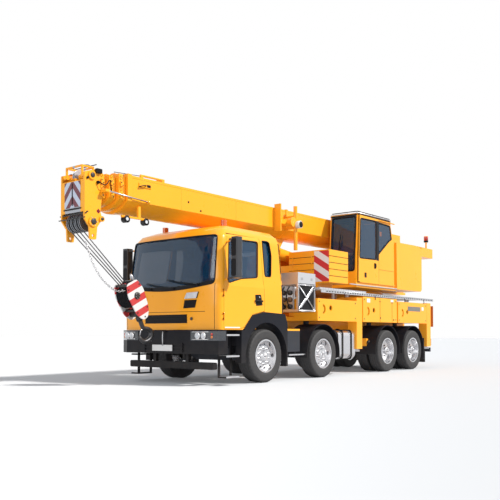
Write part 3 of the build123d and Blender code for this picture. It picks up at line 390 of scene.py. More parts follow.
hookSteel = bareMetal("forged hook", (0.065, 0.065, 0.07), 0.36, (12, 12, 12), 0.7)
mirrorGlass = bareMetal("mirror glass", (0.75, 0.80, 0.86), 0.05, (1, 1, 1))
deckPlate = treadPlate()
windowGlass = glassFinish("window glass", (0.003, 0.040, 0.095), 0.56)
redLens = lensFinish("red lens", (0.55, 0.02, 0.012))
amberLens = lensFinish("amber lens", (0.80, 0.20, 0.01))
clearLens = lensFinish("clear lens", (0.70, 0.72, 0.76))

carried = {
    frameMix: ["chassis_frame"],
    chassisGrey: ["engine"],
    cabMix: ["cab_shell", "cab_door_left", "cab_door_right"],
    windowGlass: [name for name in nodes if name.endswith("_glass")],
    seatCloth: ["cab_interior", "crane_cab_interior"],
    bumperBlack: ["bumper", "entry_steps"],
    lampMix: ["lamps"],
    boomMix: ["boom_base"],
    guardGrey: ["mudguards"],
    tankAluminium: ["fuel_tanks"],
    deckPlate: ["deck"],
    sheetAluminium: ["stowage_bay"],
    craneCabMix: ["crane_cab", "crane_door"],
    headMix: ["boom_section_3"],
    chrome: ["luffing_rod"],
    darkSteel: [name for name in nodes if name.startswith("knuckle")],
    wheelAluminium: [name for name in nodes if name.endswith("_rim")],
    tyreRubber: [name for name in nodes if name.endswith("_tyre")],
    boltSteel: [name for name in nodes if name.startswith("jack")],
    ropeSteel: ["hook_block"],
}
for name, node in nodes.items():
    finish = next((key for key, names in carried.items() if name in names), yellow)
    node.data.materials.clear()
    node.data.materials.append(finish)
print("stage: materials made")


# Meshes: every piece is gathered from surfaces worked out as whole arrays

axleOne = 1.930  # the first axle's x in the model's frame
boomRest = {"pivot": (-6.800, 3.250), "tilt": radians(0.43)}
hookRest = {"top": (2.340, 1.800), "foot": (1.750, 0.650)}


def turnInSide(points, pivot, angle):
    # a turn about a line along y: x and z swing by the angle, nose down when it is positive
    x, y, z = points.T
    turnedX = x * cos(angle) + z * sin(angle) + pivot[0]
    turnedZ = -x * sin(angle) + z * cos(angle) + pivot[1]
    return np.stack([turnedX, y, turnedZ], axis=1)


def onTruck(points):
    return points


def onBoom(points):
    return turnInSide(points, boomRest["pivot"], boomRest["tilt"])


def onHook(points):
    top, foot = hookRest["top"], hookRest["foot"]
    return turnInSide(points, top, atan2(top[0] - foot[0], top[1] - foot[1]))


def gridFaces(rows, columns, wrapRows=False, wrapColumns=False):
    # quads between neighbouring rows and columns of a grid of points
    rowCount = rows if wrapRows else rows - 1
    columnCount = columns if wrapColumns else columns - 1
    row, column = np.meshgrid(np.arange(rowCount), np.arange(columnCount), indexing="ij")
    nextRow, nextColumn = (row + 1) % rows * columns, (column + 1) % columns
    corners = (row * columns + column, row * columns + nextColumn, nextRow + nextColumn, nextRow + column)
    return np.stack([corner.ravel() for corner in corners], axis=1)


class Piece:
    # collects surfaces, each with its own finish, and becomes one mesh

    def __init__(self, name, body, where=onTruck):
        self.name, self.body, self.where = name, body, where
        self.points, self.quads, self.caps, self.finishes = [], [], [], []
        self.quadLook, self.capLook = [], []
        self.count = 0

    def add(self, points, quads, caps, finish, smooth=False):
        if finish not in self.finishes:
            self.finishes.append(finish)
        look = (self.finishes.index(finish), smooth)
        points = self.where(np.asarray(points, float).reshape(-1, 3))
        self.points.append(points)
        self.quads.append(quads + self.count)
        self.quadLook.append(np.tile(look, (len(quads), 1)))
        self.caps += [cap + self.count for cap in caps]
        self.capLook += [look] * len(caps)
        self.count += len(points)

    def loft(self, rings, finish, smooth=False, closed=False):
        # rings: an array of rows, each a closed loop of points; the ends are capped
        rings = np.asarray(rings, float)
        rows, columns = rings.shape[:2]
        quads = gridFaces(rows, columns, closed, True)
        ring = np.arange(columns)
        caps = [] if closed else [ring[::-1], ring + (rows - 1) * columns]
        points = rings.reshape(-1, 3)
        if enclosed(points, quads, caps) < 0:
            quads, caps = quads[:, ::-1], [cap[::-1] for cap in caps]
        self.add(points, quads, caps, finish, smooth)

    def sheetOf(self, grid, finish, smooth=True):
        # an open grid of points, seen from the side where its rows rise as its columns run on
        rows, columns = grid.shape[:2]
        self.add(grid, gridFaces(rows, columns)[:, ::-1], [], finish, smooth)

    def bandOf(self, first, second, finish):
        # the wall between two closed lines of points
        self.add(np.stack([first, second]), gridFaces(2, len(first), False, True), [], finish)

    def finished(self, both=False):
        points, quads, caps = np.concatenate(self.points), np.concatenate(self.quads), self.caps
        quadLook, capLook = np.concatenate(self.quadLook), self.capLook
        if both:
            # the other side of the machine: y changes sign and each face is walked backwards
            count = len(points)
            points = np.concatenate([points, points * (1, -1, 1)])
            quads = np.concatenate([quads, quads[:, ::-1] + count])
            caps = caps + [cap[::-1] + count for cap in caps]
            quadLook, capLook = np.concatenate([quadLook, quadLook]), capLook * 2
        look = np.concatenate([quadLook, np.array(capLook, int).reshape(-1, 2)])
        mesh = bpy.data.meshes.new(self.name)
        faces = quads.tolist() + [cap.tolist() for cap in caps]
        mesh.from_pydata((points + (axleOne, 0, 0)).tolist(), [], faces)
        for finish in self.finishes:
            mesh.materials.append(finish)
        mesh.polygons.foreach_set("material_index", look[:, 0].astype(np.int32))
        mesh.polygons.foreach_set("use_smooth", look[:, 1].astype(bool))
        mesh.update()
        made = bpy.data.objects.new(self.name, mesh)
        bpy.context.scene.collection.objects.link(made)
        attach(made, self.body)
        return made


def enclosed(points, quads, caps):
    # the volume inside a closed shape; it comes out negative when the shape is inside out
    place = points - points.mean(axis=0)
    a, b, c, d = (place[quads[:, corner]] for corner in range(4))
    volume = np.sum(a * np.cross(b, c)) + np.sum(a * np.cross(c, d))
    for cap in caps:
        fan = np.cross(place[cap[1:-1]], place[cap[2:]])
        volume += np.sum(place[cap[0]] * fan)
    return volume


def roundedLoop(corners, radius, steps=3):
    # a closed outline whose corners become arcs: each arc is a curve between the two cut points
    corners = np.asarray(corners, float)
    before, after = np.roll(corners, 1, axis=0), np.roll(corners, -1, axis=0)
    toBefore, toAfter = before - corners, after - corners
    lengthBefore = np.linalg.norm(toBefore, axis=1, keepdims=True)
    lengthAfter = np.linalg.norm(toAfter, axis=1, keepdims=True)
    cut = np.minimum(radius, 0.45 * np.minimum(lengthBefore, lengthAfter))
    first, last = corners + toBefore / lengthBefore * cut, corners + toAfter / lengthAfter * cut
    share = np.linspace(0, 1, steps + 1)[None, :, None]
    middle = 2 * share * (1 - share) * corners[:, None]
    curve = (1 - share) ** 2 * first[:, None] + middle + share ** 2 * last[:, None]
    return curve.reshape(-1, 2)


def insetLoop(loop, distance):
    # every corner moves inwards along the mitre of its two sides
    forward = np.roll(loop, -1, axis=0) - loop
    forward /= np.linalg.norm(forward, axis=1, keepdims=True) + 1e-12
    backward = np.roll(forward, 1, axis=0)
    area = np.sum(loop[:, 0] * np.roll(loop[:, 1], -1) - np.roll(loop[:, 0], -1) * loop[:, 1])
    turn = 1 if area > 0 else -1
    normal = turn * np.stack([-forward[:, 1] - backward[:, 1], forward[:, 0] + backward[:, 0]], axis=1)
    scale = 2 / np.maximum(np.sum(normal ** 2, axis=1, keepdims=True), 0.5)
    return loop + normal * scale * distance


axisOrder = {"x": (2, 0, 1), "y": (0, 2, 1), "z": (0, 1, 2)}


def slab(piece, loop, axis, low, high, finish, bevel=0.004):
    # an outline carried along one axis, drawn in by the bevel at both ends
    bevel = min(bevel, 0.45 * abs(high - low))
    inner = insetLoop(loop, bevel)
    stations = ((inner, low), (loop, low + bevel), (loop, high - bevel), (inner, high))
    rings = [np.column_stack([ring, np.full(len(ring), level)]) for ring, level in stations]
    piece.loft([ring[:, list(axisOrder[axis])] for ring in rings], finish)


def oblong(x0, x1, y0, y1):
    return np.array(((x0, y0), (x1, y0), (x1, y1), (x0, y1)), float)


def brick(piece, low, high, finish, bevel=0.006):
    # a block with softened edges: its plan outline carried upwards
    loop = roundedLoop(oblong(low[0], high[0], low[1], high[1]), bevel, 2)
    slab(piece, loop, "z", low[2], high[2], finish, bevel)


def twoWays(path, closed=False):
    # two directions square to a path at each of its points, turned as little as possible
    path = np.asarray(path, float)
    ahead = np.roll(path, -1, axis=0) - np.roll(path, 1, axis=0)
    if not closed:
        ahead[0], ahead[-1] = path[1] - path[0], path[-1] - path[-2]
    ahead /= np.linalg.norm(ahead, axis=1, keepdims=True)
    side = np.empty_like(ahead)
    start = np.array([0, 0, 1.0]) if abs(ahead[0][2]) < 0.8 else np.array([0, 1.0, 0])
    for index, direction in enumerate(ahead):
        start = start - direction * np.dot(start, direction)
        start = start / np.linalg.norm(start)
        side[index] = start
    return side, np.cross(ahead, side)


def tube(piece, path, radius, finish, sides=10, closed=False, flat=1.0):
    # a circle, or an ellipse where flat isn't 1, carried along a path
    side, across = twoWays(path, closed)
    turn = np.linspace(0, 2 * pi, sides, endpoint=False)[None, :, None]
    radius = np.broadcast_to(np.asarray(radius, float), (len(path),))[:, None, None]
    circle = np.cos(turn) * side[:, None] + flat * np.sin(turn) * across[:, None]
    piece.loft(np.asarray(path, float)[:, None] + radius * circle, finish, True, closed)


def disc(piece, centre, axis, profile, finish, sides=32, smooth=True):
    # a turned shape: pairs of distance along the axis and radius, swept round it
    profile = np.asarray(profile, float)
    turn = np.linspace(0, 2 * pi, sides, endpoint=False)
    along = np.broadcast_to(profile[:, :1], (len(profile), sides))
    first, second = profile[:, 1:] * np.cos(turn), profile[:, 1:] * np.sin(turn)
    order = {"x": (along, first, second), "y": (second, along, first), "z": (first, second, along)}
    piece.loft(np.stack(order[axis], axis=2) + np.asarray(centre, float), finish, smooth)


def bolts(piece, places, axis, radius, height, finish):
    # the same small six-sided head at every place, facing along the axis
    profile = ((0, radius), (height * 0.7, radius), (height, radius * 0.8))
    for place in places:
        disc(piece, place, axis, profile, finish, 6, False)


def ringOf(count, radius, centre):
    # places round a circle in x and z
    turns = np.linspace(0, 2 * pi, count, endpoint=False)
    x, y, z = centre
    return [(x + radius * cos(turn), y, z + radius * sin(turn)) for turn in turns]


def throughPoints(points, steps=8):
    # a smooth line through a few points: a cubic that follows each point's neighbours
    points = np.asarray(points, float)
    padded = np.concatenate([2 * points[:1] - points[1:2], points, 2 * points[-1:] - points[-2:-1]])
    a, b, c, d = (part[:, None] for part in (padded[:-3], padded[1:-2], padded[2:-1], padded[3:]))
    t = np.linspace(0, 1, steps, endpoint=False)[None, :, None]
    line = 2 * b + (c - a) * t + (2 * a - 5 * b + 4 * c - d) * t ** 2 + (3 * b - 3 * c + d - a) * t ** 3
    return np.concatenate([(0.5 * line).reshape(-1, 3), points[-1:]])


def spaced(loop, step, closed=True):
    # points a step apart along an outline, by its running length
    loop = np.asarray(loop, float)
    if closed:
        loop = np.concatenate([loop, loop[:1]])
    run = np.concatenate([[0], np.cumsum(np.linalg.norm(np.diff(loop, axis=0), axis=1))])
    count = max(int(run[-1] / step), 8)
    places = np.linspace(0, run[-1], count, endpoint=not closed)
    return np.stack([np.interp(places, run, column) for column in loop.T], axis=1)


# Tyres with their tread, and the nuts and caps of the wheels

wheels = {
    "axles": (0.0, -1.94, -4.75, -6.105),
    "steered": 2,
    "height": 0.5,
    "radius": 0.5,
    "single": {"middle": 1.0875, "width": 0.295, "face": 1.1755, "hub": 1.2215, "hubRadius": 0.060},
    "twin": {"middle": 1.099, "width": 0.272, "face": 1.029, "hub": 1.2310, "hubRadius": 0.056},
    "innerMiddle": 0.775,
    "turns": 168,
    "innerTurns": 72,
    "grooveDepth": 0.011,
    "grooves": (-0.62, -0.22, 0.22, 0.62),
    "nuts": 10,
    "nutRing": 0.152,
}


def tyreProfile():
    # stations from the inner bead over the tread to the outer bead: share of the half width, radius
    side = np.array([
        (0.80, 0.304), (0.88, 0.309), (0.93, 0.322), (0.965, 0.340), (0.972, 0.344), (0.985, 0.362),
        (1.0, 0.395), (1.0, 0.415), (0.992, 0.437), (0.996, 0.441), (0.985, 0.452), (0.968, 0.466),
        (0.950, 0.474), (0.925, 0.483),
    ])
    crown = np.linspace(0.90, -0.90, 61)
    top = np.column_stack([crown, 0.500 - 0.012 * np.abs(crown) ** 6 / 0.9 ** 6])
    return np.concatenate([side, top, side[::-1] * (-1, 1)])


def tyre(piece, middle, width, axleX, sign, turns):
    # a grid of angle round the axle by station across the tyre; grooves lower the radius
    # where the station lies near a zigzag line, and slots cut the shoulders every few degrees
    profile = tyreProfile()
    turn = np.linspace(0, 2 * pi, turns, endpoint=False)[:, None]
    share, radius = profile[:, 0][None, :], profile[:, 1][None, :]
    zigzag = 0.022 * np.abs((turn * 36 / pi) % 2 - 1) - 0.011
    depth = np.zeros((turns, len(profile)))
    for line in wheels["grooves"]:
        near = np.clip((0.055 - np.abs(share - line - zigzag)) / 0.02, 0, 1)
        depth = np.maximum(depth, near * wheels["grooveDepth"])
    slot = (np.sin(turn * 42) > 0.55) * np.clip((np.abs(share) - 0.72) / 0.03, 0, 1) * (radius > 0.474)
    depth = np.maximum(depth, slot * wheels["grooveDepth"] * 0.8)
    reach = (radius - depth) * wheels["radius"] / 0.5
    y = sign * (middle + share * width / 2) + 0 * turn
    points = np.stack([axleX + reach * np.sin(turn), y, wheels["height"] + reach * np.cos(turn)], axis=2)
    piece.loft(points.transpose(1, 0, 2), tyreRubber, True, True)


def nut(piece, centre, sign, radius, height):
    # a six-sided nut with a rounded cap, turned about the axle's direction
    profile = ((0, 1.0), (0.62, 1.0), (0.70, 0.8), (0.95, 0.62), (1, 0.3))
    steps = [(sign * (along * height), wide * radius) for along, wide in profile]
    disc(piece, centre, "y", steps, boltSteel, 6, False)


def dressWheel(number, sideName, sign):
    axleX, height, body = wheels["axles"][number - 1], wheels["height"], f"wheel_{number}_{sideName}"
    rubber = Piece(f"tyre_{number}_{sideName}", body)
    metal = Piece(f"nuts_{number}_{sideName}", body)
    kind = "single" if number <= wheels["steered"] else "twin"
    look = wheels[kind]
    tyre(rubber, look["middle"], look["width"], axleX, sign, wheels["turns"])
    if kind == "twin":
        tyre(rubber, wheels["innerMiddle"], look["width"], axleX, sign, wheels["innerTurns"])
    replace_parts(rubber.finished(), body + "_tyre")
    face, hubY, hubRing, ring = look["face"], look["hub"], look["hubRadius"] * 0.75, wheels["nutRing"]
    for turn in np.linspace(0, 2 * pi, wheels["nuts"], endpoint=False) + 0.31:
        nut(metal, (axleX + ring * cos(turn), sign * face, height + ring * sin(turn)), sign, 0.017, 0.032)
    for turn in np.linspace(0, 2 * pi, 8, endpoint=False):
        place = (axleX + hubRing * cos(turn), sign * (hubY - 0.004), height + hubRing * sin(turn))
        nut(metal, place, sign, 0.008, 0.012)
    profile = ((-0.004, 0.030), (0.010, 0.030), (0.016, 0.024), (0.018, 0.010))
    cap = [(sign * step, wide) for step, wide in profile]
    disc(metal, (axleX, sign * hubY, height), "y", cap, boltSteel, 20)
    valve = ((0.235, -0.01), (0.238, 0.02), (0.240, 0.035))
    valve = [(axleX + out, sign * (face + step), height) for out, step in valve]
    tube(metal, valve, 0.005, boltSteel, 6)
    metal.finished()


for number in range(1, 5):
    for sideName, sign in (("left", 1), ("right", -1)):
        dressWheel(number, sideName, sign)
print("stage: wheels")


# Truck cab: its bowed walls and glass, then seals, wipers, mirrors' glass, lamps and trim

cab = {
    # height, middle of the front, how far it falls back, half width, x of the doors' front edge
    "sections": (
        (0.985, 1.390, 0.110, 1.250, 1.206),
        (1.400, 1.405, 0.120, 1.250, 1.205),
        (1.752, 1.398, 0.125, 1.246, 1.201),
        (1.900, 1.362, 0.130, 1.222, 1.173),
        (2.640, 1.262, 0.100, 1.150, 1.029),
        (2.690, 1.228, 0.095, 1.121, 1.018),
        (2.780, 1.150, 0.090, 1.068, 0.985),
        (2.872, 0.900, 0.060, 0.930, 0.780),
    ),
    "cornerWidth": 0.100,
    "cornerShare": 0.80,
    "cornerPull": 0.55,
    "wall": 0.030,
    "rear": -0.500,
    "screenLow": 1.105,
    "screenTop": 1.068,
    "screenHeights": (1.800, 2.655),
    "screenDip": 0.102,
    "sealWidth": 0.011,
    "doorCorner": ((0.985, 1.238), (1.400, 1.235), (1.760, 1.225), (1.900, 1.187), (2.640, 0.985)),
    "doorWindow": ((1.070, 1.806), (0.972, 2.606), (0.152, 2.626), (0.238, 1.950), (0.700, 1.905)),
    "quarterWindow": ((0.016, 1.990), (0.020, 2.668), (-0.190, 2.668), (-0.232, 2.410), (-0.172, 1.990)),
    "quarterPanel": ((0.089, 2.706), (0.060, 1.332), (0.060, 1.319), (-0.500, 1.297), (-0.500, 2.706)),
    "rearWindow": ((-0.620, 2.000), (0.620, 2.000), (0.600, 2.560), (-0.600, 2.560)),
    "underDoor": ((0.060, 1.330), (0.427, 1.262), (0.652, 1.030), (0.762, 0.998), (1.206, 0.994)),
    "archEdge": ((0.060, 1.319), (0.425, 1.252), (0.648, 1.020), (0.700, 0.985), (1.206, 0.985)),
    "lampOutline": ((0.500, 1.535), (0.780, 1.540), (0.820, 1.650), (0.560, 1.640)),
    "ventOutline": ((0.460, 1.365), (0.740, 1.375), (0.775, 1.515), (0.490, 1.510)),
    "hingeLevels": (1.190, 1.600),
    "browHeights": (2.690, 2.735, 2.780, 2.812, 2.846, 2.872),
    "rearPanel": (
        (-1.250, 1.297), (1.250, 1.297), (1.250, 1.400), (1.246, 1.760), (1.222, 1.900),
        (1.150, 2.640), (1.068, 2.780), (0.930, 2.872),
    ),
    "wipers": ((0.80, 0.78), (0.22, 0.74), (-0.38, 0.62)),
    "bumperPlan": ((0.0, 1.480), (0.600, 1.474), (1.000, 1.450), (1.240, 1.330), (1.262, 1.140)),
}


def cabSizes(z, inset=0.0):
    table = np.array(cab["sections"])
    front, bow, half, edge = (np.interp(z, table[:, 0], table[:, column]) for column in range(1, 5))
    return front - inset, bow, half - inset, edge


def cornerCurve(share):
    # cubic from the front's end to the side: how far along, and how far back
    pull, rest = cab["cornerPull"], 1 - share
    along = 3 * rest ** 2 * share * pull + 3 * rest * share ** 2 + share ** 3
    back = rest ** 3 + 3 * rest ** 2 * share * 0.8 + 3 * rest * share ** 2 * pull
    return along, back


def cabPlan(share, z, inset=0.0):
    # plan of the cab's front from its right door to its left: x = front - bow (y / half)^4,
    # then the corner's cubic down to the door's edge
    front, bow, half, edge = cabSizes(z, inset)
    reach, split = half - cab["cornerWidth"], cab["cornerShare"]
    t = np.abs(share)
    along, back = cornerCurve(np.clip((t - split) / (1 - split), 0, 1))
    y = np.where(t <= split, reach * t / split, reach + cab["cornerWidth"] * along)
    arc = front - bow * (y / half) ** 4
    end = front - bow * (reach / half) ** 4
    x = np.where(t <= split, arc, edge + (end - edge) * back)
    return np.stack(np.broadcast_arrays(x, y * np.sign(share), z), axis=-1)


def shareOf(y, z):
    # the inverse of cabPlan: the share that lies at y
    half, split = cabSizes(z)[2], cab["cornerShare"]
    reach = half - cab["cornerWidth"]
    table = np.linspace(0, 1, 80)
    into = np.interp((np.abs(y) - reach) / cab["cornerWidth"], cornerCurve(table)[0], table)
    return np.sign(y) * np.where(np.abs(y) <= reach, split * np.abs(y) / reach, split + (1 - split) * into)


def cabFront(y, z):
    return cabPlan(shareOf(y, z), z)[..., 0]


def cabSide(x, z):
    # the side's y; the door turns in a little at its front edge, by an arc of 150 mm
    half = cabSizes(z)[2]
    table = np.array(cab["doorCorner"])
    past = np.clip(x - np.interp(z, table[:, 0], table[:, 1]), 0, 0.15)
    return half - 0.15 + np.sqrt(0.15 ** 2 - past ** 2)


def onFront(y, z, out=0.0):
    # points in y and z, laid on the bowed front
    return np.stack(np.broadcast_arrays(cabFront(y, z) + out, y, z), axis=-1)


def onSide(loop, sign=1, out=0.0):
    # an outline in x and z, laid on the cab's side
    return np.column_stack([loop[:, 0], sign * (cabSide(loop[:, 0], loop[:, 1]) + out), loop[:, 1]])


def onWall(grid, sign, inset=0.0):
    # a grid in x and z, laid on the side's plain part behind the door's corner
    return np.stack([grid[..., 0], sign * (cabSizes(grid[..., 1])[2] - inset), grid[..., 1]], axis=-1)


def screenLoop(grow=0.0):
    # the windscreen's outline: a trapezium whose bottom edge sags in the middle
    low, top, (base, head) = cab["screenLow"] + grow, cab["screenTop"] + grow, cab["screenHeights"]
    corners = ((-low, base - grow), (low, base - grow), (top, head + grow), (-top, head + grow))
    loop = spaced(roundedLoop(corners, 0.05 + grow, 5), 0.03)
    sag = cab["screenDip"] * (1 - (loop[:, 0] / low) ** 2) * np.clip((base + 0.3 - loop[:, 1]) / 0.3, 0, 1)
    return loop - np.column_stack([np.zeros(len(loop)), sag])


def sagLine(y):
    # the windscreen's bottom edge: z = base - dip (1 - (y / half)^2)
    return cab["screenHeights"][0] - cab["screenDip"] * (1 - (y / cab["screenLow"]) ** 2)


def frontPatch(piece, heights, reach, out, thick, finish, columns=40, rows=4):
    # a plate that follows the front between two heights, each a number or an array over y
    y = np.linspace(-reach, reach, columns)
    share = np.linspace(0, 1, rows)[:, None]
    low, high = (height(y) if callable(height) else height for height in heights)
    outer = onFront(y[None, :], low * (1 - share) + high * share + 0 * y, out)
    back = (thick, 0, 0)
    rim = np.concatenate([outer[0, :-1], outer[:-1, -1], outer[-1, :0:-1], outer[:0:-1, 0]])
    piece.sheetOf(outer, finish)
    piece.sheetOf((outer - back)[::-1], finish)
    piece.bandOf(rim, rim - back, finish)


def dressFront():
    seals = Piece("cab_seals", "chassis")
    width = cab["sealWidth"]
    screen = screenLoop(0.002)
    tube(seals, onFront(screen[:, 0], screen[:, 1], 0.001), width * 1.3, sealRubber, 8, True, 0.7)
    for sign in (1, -1):
        quarter = spaced(roundedLoop(cab["quarterWindow"], 0.04, 4), 0.03)
        tube(seals, onSide(quarter, sign, 0.001), width, sealRubber, 8, True, 0.7)
    rear = spaced(roundedLoop(cab["rearWindow"], 0.04, 4), 0.04)
    rear = np.column_stack([np.full(len(rear), cab["rear"] - 0.001), rear])
    tube(seals, rear, width, sealRubber, 8, True, 0.7)
    seals.finished()

    cowl = Piece("cab_cowl", "chassis")
    edges = (lambda y: sagLine(y) - 0.014, lambda y: sagLine(y) + 0.058)
    frontPatch(cowl, edges, 1.08, 0.006, 0.012, trimBlack)
    for middle, reach in cab["wipers"]:
        y = np.linspace(middle, middle - reach, 14)
        z = sagLine(middle) + 0.035 + 0.10 * (1 - np.cos(np.linspace(0, pi / 2, 14)))
        tube(cowl, onFront(y, z, 0.026), np.linspace(0.012, 0.006, 14), trimBlack, 8)
        tube(cowl, onFront(y, z + 0.018, 0.014)[2:], 0.006, sealRubber, 6)
        hub = (float(cabFront(middle, sagLine(middle))) - 0.004, middle, float(sagLine(middle)) + 0.03)
        disc(cowl, hub, "x", ((0, 0.024), (0.030, 0.022), (0.040, 0.012)), trimBlack, 16)
    # sun visor panel inside the glass
    frontPatch(cowl, (2.46, 2.64), 0.99, -0.040, 0.008, trimBlack, 30)
    cowl.finished()


def panel(piece, outer, inner, finish, lining, closed=False):
    # a wall between two matching grids; its inner face and edges get the lining
    rows, columns = outer.shape[:2]
    index = np.arange(rows * columns).reshape(rows, columns)
    count = index.size
    if closed:
        index = np.concatenate([index, index[:, :1]], axis=1)
    corners = (index[:-1, :-1], index[:-1, 1:], index[1:, 1:], index[1:, :-1])
    front = np.stack(corners, axis=-1).reshape(-1, 4)
    starts, stops = [index[0, :-1], index[-1, 1:]], [index[0, 1:], index[-1, :-1]]
    if not closed:
        starts += [index[:-1, -1], index[1:, 0]]
        stops += [index[1:, -1], index[:-1, 0]]
    starts, stops = np.concatenate(starts), np.concatenate(stops)
    edge = np.stack([stops, starts, starts + count, stops + count], axis=1)
    back = np.concatenate([front[:, ::-1] + count, edge])
    points = np.concatenate([outer.reshape(-1, 3), inner.reshape(-1, 3)])
    if enclosed(points, np.concatenate([front, back]), []) < 0:
        front, back = front[:, ::-1], back[:, ::-1]
    piece.add(points, front, [], finish, True)
    piece.add(points, back, [], lining)


def rayed(loop, middle, angles):
    # where rays from a middle meet a closed outline: the nearest crossing of all its sides
    first = np.asarray(loop, float) - middle
    side = np.roll(first, -1, axis=0) - first
    way = np.stack([np.cos(angles), np.sin(angles)], axis=1)[:, None]
    below = way[..., 0] * side[:, 1] - way[..., 1] * side[:, 0]
    below = np.where(np.abs(below) < 1e-9, 1e-9, below)
    reach = (first[:, 0] * side[:, 1] - first[:, 1] * side[:, 0]) / below
    share = (first[:, 0] * way[..., 1] - first[:, 1] * way[..., 0]) / below
    reach = np.where((reach > 0) & (share > -1e-6) & (share < 1 + 1e-6), reach, np.inf)
    return middle + way[:, 0] * reach.min(axis=1)[:, None]


def ringGrid(outline, window, middle, rows=5, columns=96):
    # rows of points from an outline to the window in it, by the angle round the window's middle
    hole = roundedLoop(window, 0.04, 4)
    corners = np.asarray(outline, float) - middle
    ways = np.arctan2(corners[:, 1], corners[:, 0]) % (2 * pi)
    angles = np.sort(np.concatenate([np.linspace(0, 2 * pi, columns, endpoint=False), ways]))
    share = np.linspace(0, 1, rows)[:, None, None]
    return rayed(outline, middle, angles) * (1 - share) + rayed(hole, middle, angles) * share


def skinFront(piece):
    # below the glass, the posts beside it and the brow above it, as plan curves at many heights
    low, high = cab["sections"][0][0], cab["screenHeights"]
    corner = float(shareOf(cab["screenLow"], high[0]))
    side, glass = np.linspace(corner, 1, 16), np.linspace(-corner, corner, 41)
    share = np.concatenate([np.linspace(-1, -corner, 16)[:-1], glass, side[1:]])
    dip = cab["screenDip"] * np.clip(1 - (share / corner) ** 2, 0, 1)
    z = low + (high[0] - dip - low) * np.linspace(0, 1, 22)[:, None]
    level = np.linspace(high[0], high[1], 22)[:, None]
    screenEdge = shareOf(np.interp(level, high, (cab["screenLow"], cab["screenTop"])), level)
    post = screenEdge + (1 - screenEdge) * np.linspace(0, 1, 16)
    brow = np.array([high[1], *cab["browHeights"]])[:, None]
    for across, height in ((share, z), (post, level), (-post, level), (np.linspace(-1, 1, 81), brow)):
        outer, inner = cabPlan(across, height), cabPlan(across, height, cab["wall"])
        panel(piece, outer, inner, yellow, trimBlack)


def skinSide(piece, sign):
    wall = cab["wall"]
    rows = np.array((2.706, *cab["browHeights"][1:]))[:, None]
    along = cab["rear"] + (cabSizes(rows)[3] - cab["rear"]) * np.linspace(0, 1, 20)
    strip = np.stack(np.broadcast_arrays(along, rows), axis=-1)
    under = np.stack([cab["underDoor"], cab["archEdge"]])
    quarter = ringGrid(cab["quarterPanel"], cab["quarterWindow"], (-0.08, 2.30))
    for grid, closed in ((quarter, True), (strip, False), (under, False)):
        panel(piece, onWall(grid, sign), onWall(grid, sign, wall), yellow, trimBlack, closed)
    # hinge ears above and below the door's barrels
    for level in cab["hingeLevels"]:
        for foot in (level - 0.031, level + 0.063):
            disc(piece, (1.203, sign * 1.264, foot), "z", ((0, 0.011), (0.028, 0.011)), yellow, 16)
            for x, innerY in ((1.203, 1.252), (1.213, 1.190)):
                low, high = sorted((sign * 1.264, sign * innerY))
                brick(piece, (x, low, foot), (1.237, high, foot + 0.028), yellow, 0.001)


def cabSkin():
    # the outer walls that the rigid form lacks: a front that bows across and up
    piece = Piece("cab_skin", "chassis")
    skinFront(piece)
    top = cab["sections"][-1][0]
    roof = cabPlan(np.linspace(-1, 1, 81), np.full(81, top))
    roof = np.concatenate([roof, [(cab["rear"], 0.930, top), (cab["rear"], -0.930, top)]])
    piece.loft([roof - (0, 0, 0.018), roof], yellow)
    piece.loft([roof - (0, 0, 0.026), roof - (0, 0, 0.019)], trimBlack)
    for sign in (1, -1):
        skinSide(piece, sign)
    behind = cab["rearPanel"] + tuple((-y, z) for y, z in cab["rearPanel"][:1:-1])
    grid = ringGrid(behind, cab["rearWindow"], (0.0, 2.28))
    outer = np.stack([np.full(grid.shape[:2], cab["rear"]), grid[..., 0], grid[..., 1]], axis=-1)
    panel(piece, outer, outer + (cab["wall"], 0, 0), yellow, trimBlack, True)
    brick(piece, (-0.490, -1.200, 1.360), (0.900, 1.200, 1.400), trimBlack, 0.002)
    brick(piece, (0.900, -1.100, 1.200), (1.240, 1.100, 1.240), trimBlack, 0.002)
    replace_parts(piece.finished(), "cab_shell")


def cabPanes():
    piece, high = Piece("cab_panes", "chassis"), cab["screenHeights"]
    rise = np.linspace(0, 1, 24)[:, None]
    y = np.linspace(-1, 1, 50) * (cab["screenLow"] + (cab["screenTop"] - cab["screenLow"]) * rise)
    outer = onFront(y, sagLine(y) + (high[1] - sagLine(y)) * rise, -0.012)
    panel(piece, outer, outer - (0.006, 0, 0), windowGlass, windowGlass)
    for sign in (1, -1):
        grid = np.stack(np.meshgrid(np.linspace(-0.26, 0.05, 4), np.linspace(1.97, 2.69, 12)), axis=-1)
        pane = onWall(grid, sign, 0.036)
        panel(piece, pane, pane - (0, sign * 0.006, 0), windowGlass, windowGlass)
    brick(piece, (-0.468, -0.640, 1.980), (-0.462, 0.640, 2.580), windowGlass, 0.001)
    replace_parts(piece.finished(), "cab_glass")


def outlinePatch(piece, corners, out, thick, finish, columns=14, rows=6):
    # a four-cornered plate laid on both halves of the bowed front
    low, high = (np.linspace(corners[first], corners[last], columns) for first, last in ((0, 1), (3, 2)))
    share = np.linspace(0, 1, rows)[:, None, None]
    flat = low * (1 - share) + high * share
    for sign in (1, -1):
        outer = onFront(flat[..., 0], flat[..., 1], out) * (1, sign, 1)
        panel(piece, outer, outer - (thick, 0, 0), finish, trimBlack)


